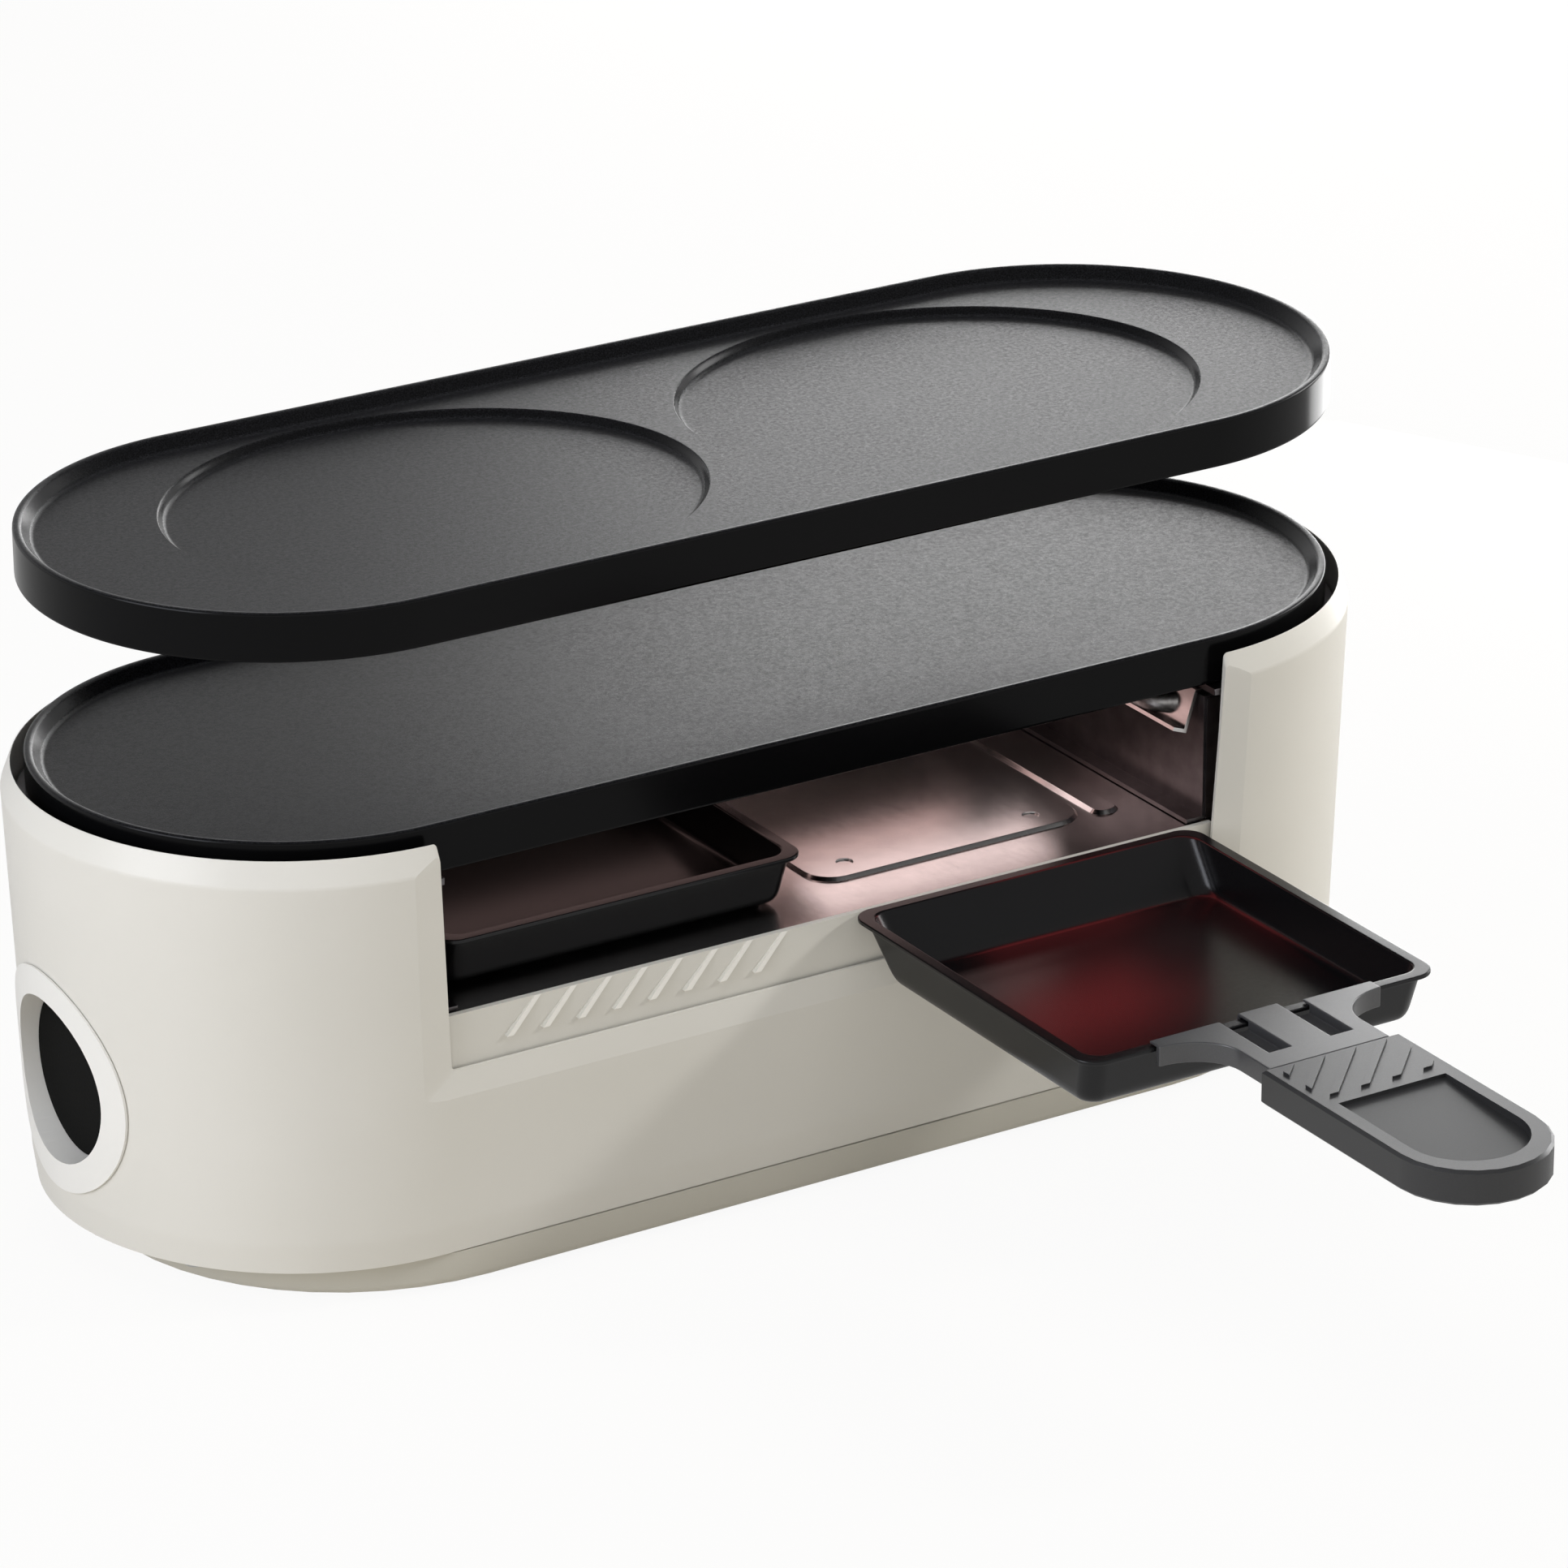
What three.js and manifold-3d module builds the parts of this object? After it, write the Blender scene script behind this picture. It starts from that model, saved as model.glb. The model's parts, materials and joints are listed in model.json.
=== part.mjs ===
// A table-top raclette grill for two: a tall oval shell with a cut-out front, a lift-off grill plate on top,
// a second plate lifted above it, two small pans and one clip-on pan handle.
// Millimetres. X runs along the grill, -Y is the front, +Z is up. The origin is the middle of the
// plinth's flat underside, one foot height above the table.

import * as THREE from 'three'
import { mergeVertices } from 'three/addons/utils/BufferGeometryUtils.js'
import Module from 'manifold-3d'

const wasm = await Module()
wasm.setup()

// Clearances
const seatGap = 0.3
const cutOverrun = 6
const cleanCut = 0.5

// Grill plates: two castings of the same oval outline
const plateStraight = 236
const plateRadius = 70
const plateHeight = 13
const plateFloorDrop = 3.5
const plateFloorThickness = 4
const plateSkirtThickness = 2.7
const plateRimLand = 1.2
const plateRimSlope = 2.8
const plateEdgeRound = 0.7
const plateLift = 47.7
const ovalLength = 145.4
const ovalWidth = 125
const ovalSpacing = 152.6
const ovalDepth = 3.3
const ovalStep = 1.8

// Shell: one drafted oval wall, open at the top and below
const shellPlateGap = 3.4
const shellBevelDepth = 2.93
const shellBevelRise = 6.8
const shellLip = 0.3
const shellWall = 2.4
const shellDraftShare = 0.0356
const shellFootRise = 8
const shellFootBevel = 1
const plateStandProud = 3.2

// Front cut-out of the shell, with a bevelled band round its edge
const notchDrop = 21
const notchBandDepth = 1.54
const notchBandRise = 7.05
const notchReveal = 2.3
const notchBandWidth = 10.95
const notchCreaseTaperShare = 0.054
const notchEdgeTaperShare = 0.047
const notchCornerRadius = 1.6

// Plinth, feet and the screws from below
const footHeight = 1
const plinthHeight = 10
const plinthEndInset = 12.5
const plinthProud = 0.4
const plinthWall = 3
const plinthEdgeRound = 3
const plinthFloor = 3
const closingPlate = 2.3
const footRadius = 7
const footRecess = 2
const footFromBend = 5.5
const footInset = 22
const baseScrewInset = 3
const baseScrewAngle = 35
const baseBossRadius = 4.5
const baseBossHeight = 19

// Screws
const screwRadius = 1.6
const screwHeadRadius = 3
const screwHeadHeight = 1.6
const screwClearance = 0.4
const screwTipShort = 4

// Pan bay: tray, walls and the decks that carry the plate
const trayHeight = 74.9
const traySheet = 1
const bayInset = 2
const sideWallHeight = 35.5
const sideWallSheet = 1.2
const sideWallFoot = 5
const sideWallTopFlange = 6
const sideWallFrontFlange = 5
const rearWallSheet = 1
const rearWallBelowTray = 25.9
const wallFlange = 11
const deckSheet = 1.9
const deckLedgeWidth = 10
const deckLedgeReach = 4
const deckLedgeHeight = 3
const deckLedgeAngle = 50
const panelRise = 1
const panelSlope = 1
const panelCorner = 9
const panelFrontBorder = 18.2
const panelMiddleBorder = 6.6
const panelLength = 85.4
const ribGap = 2
const ribWidth = 8.5
const dimpleRadius = 2.4
const dimpleDepth = 0.5
const dimpleFromPanelFront = 9
const dimpleInset = 13.4
const trayPostRadius = 5
const trayPostFromWall = 24
const trayPostFromRear = 28

// Apron: the cream sill wall under the pan bay
const apronThickness = 1.7
const apronProud = 1.2
const apronSill = 0.4
const apronBelowSill = 26.3
const apronOverlap = 1.5
const stripeCount = 8
const stripePitch = 10.45
const stripeWidth = 2
const stripeLean = 9
const stripeHeight = 9
const stripeFootProud = 1.4
const stripeTopProud = 0.1
const wallBossRadius = 6.2
const wallBossFromWall = 16
const wallBossInset = 5.9
const wallBossHeight = 29

// Round cups in the shell's ends
const cupRadius = 22.5
const cupWall = 1.5
const cupRingRadius = 30.3
const cupRingProud = 0.6
const cupHeight = 49.4
const cupDepth = 7.2
const cupLip = 3.5
const cupLipThickness = 1.5
const cupPlateThickness = 1.4

// Power inlet at the right end
const inletBoxWidth = 30
const inletBoxHeight = 22
const inletWall = 2.5
const inletPocketDepth = 15
const pinLength = 18
const pinThickness = 2
const pinWidth = 4
const pinSpread = 7
const pinOffset = 2

// Heating element and its troughs
const elementRadius = 3.2
const elementBend = 12
const elementOutletBend = 12
const elementLegInset = 11
const elementRunY = 24
const elementOutlet = 12
const elementClearance = 0.25
const studRadius = 1.2
const studLength = 13
const beadRadius = 4
const beadLength = 7
const troughSheet = 1
const troughEndInset = 4
const troughLengthLeft = 72
const troughTipInset = 3.8
const troughLip = 4.3
const troughLipRise = 1.6
const troughTab = 5
const troughBelowDeck = 12.1

// Thermostat and leads inside the right end
const thermostatRadius = 8.5
const thermostatDepth = 9
const thermostatFlangeRadius = 11
const thermostatFlange = 1.5
const thermostatBelowDeck = 22
const thermostatY = -25
const leadRadius = 1.4
const leadStraight = 5
const leadSpread = 5
const earthY = 12
const earthBelowDeck = 28

// Pans
const panBetween = 7.1
const panSideClearance = 4.95
const panDepthMargin = 29
const panRearClearance = 20.7
const panHeight = 14.5
const panCorner = 6
const panFlange = 2
const panFlangeThickness = 1.2
const panWall = 1.4
const panFloor = 2
const panEdgeRound = 0.4
const panFootRound = 3.6
const panSideSlope = 1.5
const panFrontSlope = 3.4
const panBackSlope = 11.5
const frontPanDrop = 14.7
const frontPanClearance = 0.8
const frontPanAside = 0.8

// Clip-on handle
const bracketTipWidth = 67.5
const bracketNeckWidth = 36.5
const bracketTipDepth = 2
const bracketCurve = 12.7
const bracketLength = 27.1
const bracketThickness = 5.5
const hookThickness = 0.7
const tongueWidth = 12
const tongueDrop = 7
const tongueSheet = 1
const slotWidth = 6.7
const slotFromRim = 18.9
const slotDepth = 2.7
const gripWidth = 41.6
const gripLength = 77.7
const gripThickness = 9.3
const gripProud = 0.5
const gripChamfer = 0.8
const gripRecessWidth = 32.2
const gripRecessLength = 45.6
const gripRecessFromEnd = 6.4
const gripRecessDepth = 1
const gripRibCount = 6
const gripRibPitch = 9.4
const gripRibWidth = 2.6
const gripRibProud = 0.6
const gripRibZone = 19.1
const gripRibStart = 2.2
const gripRibSideMargin = 3.3
const spigotWidth = 22
const spigotLength = 20
const spigotThickness = 3.5
const spigotDepth = 1.5
const handleScrewPlace = 10

// How finely the round forms are divided
const arcSteps = 24
const cornerSteps = 5
const footSteps = 3
const roundSides = 24
const smallSides = 12
const barSides = 8
const elementSteps = 60
const leadSteps = 14

// Places that follow from the sizes above
const straightHalf = plateStraight / 2
const plinthTop = plinthHeight
const sideWallFootZ = trayHeight + seatGap
const sideWallTop = sideWallFootZ + sideWallHeight
const deckBottom = sideWallTop + troughSheet + 2 * seatGap
const deckTop = deckBottom + deckSheet
const lowerPlateZ = deckTop + seatGap
const upperPlateZ = lowerPlateZ + plateHeight + plateLift
const shellTop = lowerPlateZ + plateHeight - plateStandProud
const shellCreaseZ = shellTop - shellBevelRise
const shellInnerRadius = plateRadius + shellPlateGap
const shellCreaseRadius = shellInnerRadius + shellBevelDepth
const shellFootZ = plinthTop + shellFootRise
const shellRadiusAt = z => shellCreaseRadius - shellDraftShare * (shellCreaseZ - z)
const shellBottomRadius = shellRadiusAt(shellFootZ) - shellFootBevel
const plinthStraight = plateStraight - 2 * plinthEndInset
const plinthRadius = shellBottomRadius + plinthProud
const bayHalf = straightHalf - bayInset
const bayRear = plateRadius - seatGap
const panWidth = bayHalf - panBetween / 2 - panSideClearance
const panDepth = 2 * plateRadius - panDepthMargin
const panCentreX = (panBetween + panWidth) / 2
const panelTop = trayHeight + panelRise
const leftPanZ = panelTop + seatGap
const leftPanY = bayRear - panRearClearance - panDepth / 2
const apronFace = -(plateRadius + apronProud)
const apronTop = trayHeight + apronSill
const apronBottom = apronTop - apronBelowSill
const rightPanX = panCentreX - frontPanAside
const rightPanZ = leftPanZ - frontPanDrop
const rightPanY = apronFace - frontPanClearance - panDepth / 2
const cupEndX = straightHalf + shellRadiusAt(cupHeight)
const cupPlateX = cupEndX - cupDepth
const elementLegY = plateRadius - elementLegInset
const troughLengthRight = 2 * (plateRadius - troughEndInset)
const troughTip = [bayHalf - troughTipInset, deckBottom - troughBelowDeck]
const troughShoulder = [bayHalf - seatGap, sideWallTop + seatGap]
const troughInnerHeading = Math.atan2(troughLipRise, -troughLip)
const troughOuterHeading = Math.atan2(troughShoulder[1] - troughTip[1], troughShoulder[0] - troughTip[0])
const troughHalfAngle = (troughInnerHeading - troughOuterHeading) / 2
const elementReach = (elementRadius + seatGap + troughSheet) / Math.sin(troughHalfAngle)
const elementSideX = troughTip[0] + elementReach * Math.cos(troughOuterHeading + troughHalfAngle)
const elementZ = troughTip[1] + elementReach * Math.sin(troughOuterHeading + troughHalfAngle)

// Solids from three.js geometry, and back again
function solidOf(geometry) {
  const merged = mergeVertices(bare(geometry))
  const vertProperties = new Float32Array(merged.attributes.position.array)
  const triVerts = new Uint32Array(merged.index.array)
  return new wasm.Manifold(new wasm.Mesh({ numProp: 3, vertProperties, triVerts }))
}

function geometryOf(solid) {
  const mesh = solid.getMesh()
  const geometry = new THREE.BufferGeometry()
  geometry.setAttribute('position', new THREE.BufferAttribute(new Float32Array(mesh.vertProperties), 3))
  geometry.setIndex(new THREE.BufferAttribute(new Uint32Array(mesh.triVerts), 1))
  geometry.computeVertexNormals()
  return geometry
}

const joined = (...solids) => solids.reduce((whole, next) => whole.add(next))
const without = (solid, ...cutters) => cutters.reduce((rest, cutter) => rest.subtract(cutter), solid)

// The same place in all four quarters of the plan
const inQuarters = (x, y) => [[x, -y], [-x, -y], [x, y], [-x, y]]

// Outlines as rings of points, all with the same count for one kind
function ovalRing(straight, radius, z) {
  const points = []
  for (const side of [1, -1]) {
    for (let step = 0; step <= arcSteps; step += 1) {
      const angle = Math.PI * (step / arcSteps - 1 / 2)
      points.push(new THREE.Vector3(
        side * (straight / 2 + radius * Math.cos(angle)), side * radius * Math.sin(angle), z))
    }
  }
  return points
}

function boxRing(xMin, xMax, yMin, yMax, radius, z) {
  const corners = [
    [xMax - radius, yMin + radius, -1 / 2],
    [xMax - radius, yMax - radius, 0],
    [xMin + radius, yMax - radius, 1 / 2],
    [xMin + radius, yMin + radius, 1],
  ]
  const points = []
  for (const [x, y, startShare] of corners) {
    for (let step = 0; step <= cornerSteps; step += 1) {
      const angle = Math.PI * (startShare + step / cornerSteps / 2)
      points.push(new THREE.Vector3(x + radius * Math.cos(angle), y + radius * Math.sin(angle), z))
    }
  }
  return points
}

function ellipseRing(centreX, halfLength, halfWidth, z) {
  const points = []
  for (let step = 0; step < 2 * arcSteps; step += 1) {
    const angle = Math.PI * step / arcSteps
    points.push(new THREE.Vector3(centreX + halfLength * Math.cos(angle), halfWidth * Math.sin(angle), z))
  }
  return points
}

// A closed skin through rings of equal count, with a flat cap on the first and the last ring
function loft(rings) {
  const count = rings[0].length
  const position = rings.flat().flatMap(point => [point.x, point.y, point.z])
  const index = []
  for (let ring = 0; ring < rings.length - 1; ring += 1) {
    for (let step = 0; step < count; step += 1) {
      const next = (step + 1) % count
      const a = ring * count + step
      const b = ring * count + next
      index.push(a, b, b + count, a, b + count, a + count)
    }
  }
  const capOf = ring => {
    const spread = axis => Math.max(...ring.map(p => p[axis])) - Math.min(...ring.map(p => p[axis]))
    const [first, second] = ['x', 'y', 'z'].sort((a, b) => spread(b) - spread(a)).slice(0, 2).sort()
    const flat = ring.map(point => new THREE.Vector2(point[first], point[second]))
    const ringArea = THREE.ShapeUtils.area(flat)
    return THREE.ShapeUtils.triangulateShape(flat, []).map(face => {
      const area = THREE.ShapeUtils.area(face.map(corner => flat[corner]))
      return area * ringArea > 0 ? face : [...face].reverse()
    })
  }
  for (const [a, b, c] of capOf(rings[0])) {
    index.push(c, b, a)
  }
  const last = (rings.length - 1) * count
  for (const [a, b, c] of capOf(rings[rings.length - 1])) {
    index.push(last + a, last + b, last + c)
  }
  const geometry = new THREE.BufferGeometry()
  geometry.setAttribute('position', new THREE.Float32BufferAttribute(position, 3))
  geometry.setIndex(index)
  return solidOf(pointedOut(geometry))
}

function pointedOut(geometry) {
  const position = geometry.attributes.position
  const index = geometry.index.array
  const corner = place => new THREE.Vector3().fromBufferAttribute(position, index[place])
  let volume = 0
  for (let place = 0; place < index.length; place += 3) {
    volume += corner(place).dot(corner(place + 1).cross(corner(place + 2)))
  }
  if (volume < 0) {
    geometry.setIndex(Array.from(index).reverse())
  }
  return geometry
}

// Plain solids
function block(xMin, xMax, yMin, yMax, zMin, zMax) {
  const geometry = new THREE.BoxGeometry(xMax - xMin, yMax - yMin, zMax - zMin)
  return solidOf(geometry.translate((xMin + xMax) / 2, (yMin + yMax) / 2, (zMin + zMax) / 2))
}

function postAt(x, y, radius, zMin, zMax, sides = smallSides) {
  const geometry = new THREE.CylinderGeometry(radius, radius, zMax - zMin, sides)
  return solidOf(geometry.rotateX(Math.PI / 2).translate(x, y, (zMin + zMax) / 2))
}

function rodAlongX(y, z, radius, xMin, xMax, sides = roundSides) {
  const geometry = new THREE.CylinderGeometry(radius, radius, xMax - xMin, sides)
  return solidOf(geometry.rotateZ(Math.PI / 2).translate((xMin + xMax) / 2, y, z))
}

function turned(profile, sides = smallSides) {
  const points = profile.map(([radius, height]) => new THREE.Vector2(radius, height))
  const lathe = new THREE.LatheGeometry(points, sides).rotateX(Math.PI / 2)
  return solidOf(pointedOut(mergeVertices(bare(lathe))))
}

function bare(geometry) {
  geometry.deleteAttribute('normal')
  geometry.deleteAttribute('uv')
  return geometry
}

// A flat outline given as [along, up] pairs, drawn out along Y or along X
function outlineShape(pairs) {
  return new THREE.Shape(pairs.map(([along, up]) => new THREE.Vector2(along, up)))
}

function drawnAlongY(pairs, yMin, yMax) {
  const geometry = new THREE.ExtrudeGeometry(outlineShape(pairs), { depth: yMax - yMin, bevelEnabled: false })
  return solidOf(geometry.rotateX(Math.PI / 2).translate(0, yMax, 0))
}

function drawnAlongX(pairs, xMin, xMax) {
  const geometry = new THREE.ExtrudeGeometry(outlineShape(pairs), { depth: xMax - xMin, bevelEnabled: false })
  return solidOf(geometry.rotateX(Math.PI / 2).rotateZ(Math.PI / 2).translate(xMin, 0, 0))
}

function drawnUp(pairs, zMin, zMax) {
  const geometry = new THREE.ExtrudeGeometry(outlineShape(pairs), { depth: zMax - zMin, bevelEnabled: false })
  return solidOf(geometry.translate(0, 0, zMin))
}

// The outline of a thin sheet folded along a line of points, its thickness to the left of the line
function foldedSheet(points, thickness) {
  const line = points.map(([along, up]) => new THREE.Vector2(along, up))
  const leftOf = (from, to) => {
    const way = to.clone().sub(from).normalize()
    return new THREE.Vector2(-way.y, way.x)
  }
  const inner = line.map((point, place) => {
    const before = place > 0 ? leftOf(line[place - 1], point) : leftOf(point, line[place + 1])
    const after = place < line.length - 1 ? leftOf(point, line[place + 1]) : before
    const middle = before.clone().add(after).normalize()
    return point.clone().addScaledVector(middle, thickness / middle.dot(before))
  })
  return [...line, ...inner.reverse()].map(point => [point.x, point.y])
}

// A round bar along a path of corner points, each corner rounded to its own radius
function bentBar(corners, radii, radius, steps) {
  const path = new THREE.CurvePath()
  let from = corners[0]
  for (let place = 1; place < corners.length - 1; place += 1) {
    const corner = corners[place]
    const back = corner.clone().sub(corners[place - 1]).normalize()
    const ahead = corners[place + 1].clone().sub(corner).normalize()
    const start = corner.clone().addScaledVector(back, -radii[place - 1])
    const end = corner.clone().addScaledVector(ahead, radii[place - 1])
    path.add(new THREE.LineCurve3(from, start))
    path.add(new THREE.QuadraticBezierCurve3(start, corner, end))
    from = end
  }
  path.add(new THREE.LineCurve3(from, corners[corners.length - 1]))
  return barAlong(path, radius, steps)
}

function barAlong(path, radius, steps) {
  const section = new THREE.Shape()
  section.absarc(0, 0, radius, 0, 2 * Math.PI)
  const options = { extrudePath: path, steps, curveSegments: barSides / 2, bevelEnabled: false }
  return solidOf(pointedOut(mergeVertices(bare(new THREE.ExtrudeGeometry(section, options)))))
}

// Finishes
const finish = (color, roughness, metalness) => ({ color, roughness, metalness })
const finishes = {
  shell: finish(0xdcdad2, 0.35, 0),
  coating: finish(0x35363a, 0.55, 0.1),
  pan: finish(0x2b2c30, 0.45, 0.1),
  steel: finish(0xb9b4b2, 0.3, 1),
  darkSteel: finish(0x6f696a, 0.35, 1),
  element: finish(0x8a8580, 0.4, 1),
  black: finish(0x151516, 0.4, 0),
  grip: finish(0x747474, 0.5, 0),
  rubber: finish(0x3c3c3c, 0.9, 0),
  ceramic: finish(0xe9e4d8, 0.6, 0),
  brass: finish(0xb89a56, 0.35, 1),
  leadRed: finish(0x8c2f28, 0.6, 0),
  leadBlue: finish(0x2c4f8c, 0.6, 0),
  leadGreen: finish(0x4d7f3c, 0.6, 0),
}

const grill = new THREE.Group()

function piece(name, solid, finishName) {
  const mesh = new THREE.Mesh(geometryOf(solid), new THREE.MeshStandardMaterial(finishes[finishName]))
  mesh.name = name
  grill.add(mesh)
}

// Grill plates: a rimmed tray of cast metal, hollow below inside its skirt
function plateBody(z) {
  const floorZ = z + plateHeight - plateFloorDrop
  const inner = plateRadius - plateSkirtThickness
  const rimInner = plateRadius - plateEdgeRound - plateRimLand
  const top = z + plateHeight
  const profile = [
    [inner - plateEdgeRound, floorZ - plateFloorThickness],
    [inner, z + plateEdgeRound],
    [inner + plateEdgeRound, z],
    [plateRadius - plateEdgeRound, z],
    [plateRadius, z + plateEdgeRound],
    [plateRadius, top - plateEdgeRound],
    [plateRadius - plateEdgeRound, top],
    [rimInner, top],
    [rimInner - plateRimSlope, floorZ],
  ]
  return loft(profile.map(([radius, height]) => ovalRing(plateStraight, radius, height)))
}

function plateOvals(z) {
  const floorZ = z + plateHeight - plateFloorDrop
  const ovals = [1, -1].map(side => {
    const centreX = side * ovalSpacing / 2
    const ring = (inset, height) =>
      ellipseRing(centreX, ovalLength / 2 - inset, ovalWidth / 2 - inset, height)
    return loft([
      ring(ovalStep, floorZ - ovalDepth),
      ring(0, floorZ),
      ring(0, floorZ + cutOverrun),
    ])
  })
  return joined(...ovals)
}

// The shell's outer form, grown by an offset
function shellForm(offset) {
  const rings = [
    [shellBottomRadius, plinthTop],
    [shellRadiusAt(shellFootZ), shellFootZ],
    [shellCreaseRadius, shellCreaseZ],
    [shellInnerRadius + shellLip, shellTop],
  ]
  return loft(rings.map(([radius, z]) => ovalRing(plateStraight, radius + offset, z)))
}

function shellHollow() {
  const footRadiusInside = shellRadiusAt(shellFootZ) - shellWall
  const meetZ = shellFootZ + (shellInnerRadius - footRadiusInside) / shellDraftShare
  const rings = [
    [shellBottomRadius - shellWall, plinthTop - cutOverrun],
    [shellBottomRadius - shellWall, plinthTop],
    [footRadiusInside, shellFootZ],
    [shellInnerRadius, meetZ],
    [shellInnerRadius, shellTop + cutOverrun],
  ]
  return loft(rings.map(([radius, z]) => ovalRing(plateStraight, radius, z)))
}

// The front cut-out as slices at growing depth behind the shell's sloping face
function notchSlice(depth) {
  const bandShare = Math.min(Math.max(depth / notchBandDepth, 0), 1)
  const riseShare = Math.min(Math.max(depth / shellBevelDepth, 0), 1)
  const low = trayHeight - notchDrop + notchBandRise * bandShare
  const high = shellCreaseZ + shellBevelRise * riseShare
  const half = bayHalf + notchReveal + notchBandWidth * (1 - bandShare)
  const taper = THREE.MathUtils.lerp(notchCreaseTaperShare, notchEdgeTaperShare, bandShare)
  const halfAt = z => half - taper * (shellCreaseZ - z)
  const outline = []
  const radius = notchCornerRadius
  for (let step = 0; step <= cornerSteps; step += 1) {
    const angle = Math.PI / 2 * (step / cornerSteps)
    outline.push([halfAt(low) - radius + radius * Math.sin(angle), low + radius - radius * Math.cos(angle)])
  }
  for (let step = 0; step <= cornerSteps; step += 1) {
    const angle = Math.PI / 2 * (step / cornerSteps)
    const z = high - radius + radius * Math.sin(angle)
    outline.push([halfAt(high - radius) + radius - radius * Math.cos(angle), z])
  }
  outline.push([halfAt(high - radius) + radius, shellTop + cutOverrun])
  const mirrored = outline.map(([x, z]) => [-x, z]).reverse()
  return [...outline, ...mirrored].map(([x, z]) => new THREE.Vector3(x, depth - shellRadiusAt(z), z))
}

function notchCutter() {
  return loft([-cutOverrun, 0, notchBandDepth, shellBevelDepth, shellBevelDepth + cutOverrun].map(notchSlice))
}

function baseScrewPlaces() {
  const angle = THREE.MathUtils.degToRad(baseScrewAngle)
  const reach = shellBottomRadius - shellWall - baseScrewInset
  return inQuarters(straightHalf + reach * Math.cos(angle), reach * Math.sin(angle))
}

function wallBossPlaces() {
  const y = shellRadiusAt(shellFootZ) - shellWall + cleanCut - wallBossInset
  return inQuarters(bayHalf - wallBossFromWall, y)
}

function deckLedges() {
  const top = sideWallTop
  const ledges = []
  for (const side of [1, -1]) {
    for (const turn of [-deckLedgeAngle, 0, deckLedgeAngle]) {
      const ledge = block(shellInnerRadius - deckLedgeReach, shellInnerRadius + cleanCut,
        -deckLedgeWidth / 2, deckLedgeWidth / 2, top - deckLedgeHeight, top)
      const heading = side > 0 ? turn : turn + 180
      ledges.push(ledge.rotate([0, 0, heading]).translate([side * straightHalf, 0, 0]))
    }
  }
  return ledges
}

function shellBody() {
  const holeRadius = cupRadius + cupWall + seatGap
  const hollow = shellHollow()
  const innerForm = shellForm(-cleanCut)
  const screwBosses = baseScrewPlaces().map(([x, y]) =>
    postAt(x, y, baseBossRadius, plinthTop + closingPlate, plinthTop + closingPlate + baseBossHeight))
  const wallBosses = wallBossPlaces().map(([x, y]) =>
    postAt(x, y, wallBossRadius, apronBottom - seatGap - wallBossHeight, apronBottom - seatGap))
  const extras = joined(...screwBosses, ...wallBosses, ...deckLedges()).intersect(innerForm)
  const pilot = screwRadius + seatGap
  const screwHoles = [...baseScrewPlaces(), ...wallBossPlaces()].map(([x, y]) =>
    postAt(x, y, pilot, plinthTop, apronBottom))
  const cupHoles = [1, -1].map(side => {
    const far = side * (cupEndX + cutOverrun)
    const near = side * (cupPlateX - cutOverrun)
    return rodAlongX(0, cupHeight, holeRadius, Math.min(far, near), Math.max(far, near))
  })
  const wall = without(shellForm(0), hollow, notchCutter(), ...cupHoles)
  return without(joined(wall, extras), ...screwHoles)
}

// Plinth: a shallow tub, a closing plate under the shell's ends, and posts that carry the tray
function baseBody() {
  const rings = [
    [plinthRadius - plinthEdgeRound, 0],
    [plinthRadius - plinthEdgeRound / 3, plinthEdgeRound / 3],
    [plinthRadius, plinthEdgeRound],
    [plinthRadius, plinthTop - seatGap],
  ]
  const tub = loft(rings.map(([radius, z]) => ovalRing(plinthStraight, radius, z)))
  const closingRadius = shellBottomRadius - shellWall - seatGap
  const closing = loft([plinthTop - seatGap, plinthTop - seatGap + closingPlate].map(z =>
    ovalRing(plateStraight, closingRadius, z)))
  const hollow = loft([plinthFloor, plinthTop + cutOverrun].map(z =>
    ovalRing(plinthStraight, plinthRadius - plinthWall, z)))
  const posts = inQuarters(bayHalf - trayPostFromWall, bayRear - trayPostFromRear).map(([x, y]) =>
    postAt(x, y, trayPostRadius, plinthFloor - cleanCut, trayHeight - traySheet - seatGap))
  const footRecesses = footPlaces().map(([x, y]) =>
    postAt(x, y, footRadius + seatGap, -cutOverrun, footRecess, roundSides))
  const screwHoles = baseScrewPlaces().map(([x, y]) =>
    postAt(x, y, screwRadius + screwClearance, plinthFloor, plinthTop + cutOverrun))
  return without(joined(without(joined(tub, closing), hollow), ...posts), ...footRecesses, ...screwHoles)
}

function footPlaces() {
  return inQuarters(plinthStraight / 2 - footFromBend, plinthRadius - footInset)
}

function footBody(x, y) {
  const height = footHeight + footRecess - seatGap
  return turned([
    [0, 0],
    [footRadius - footHeight / 2, 0],
    [footRadius, footHeight / 2],
    [footRadius, height],
    [0, height],
  ], roundSides).translate([x, y, -footHeight])
}

// A screw with its head at the foot, standing on z and reaching up
function screwBody(x, y, z, length, headUp) {
  const profile = [
    [0, 0],
    [screwHeadRadius - screwHeadHeight / 3, 0],
    [screwHeadRadius, screwHeadHeight / 3],
    [screwHeadRadius, screwHeadHeight],
    [screwRadius, screwHeadHeight],
    [screwRadius, screwHeadHeight + length - screwRadius],
    [0, screwHeadHeight + length],
  ]
  const upright = turned(profile)
  const placed = headUp ? upright.rotate([180, 0, 0]) : upright
  return placed.translate([x, y, z])
}

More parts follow.
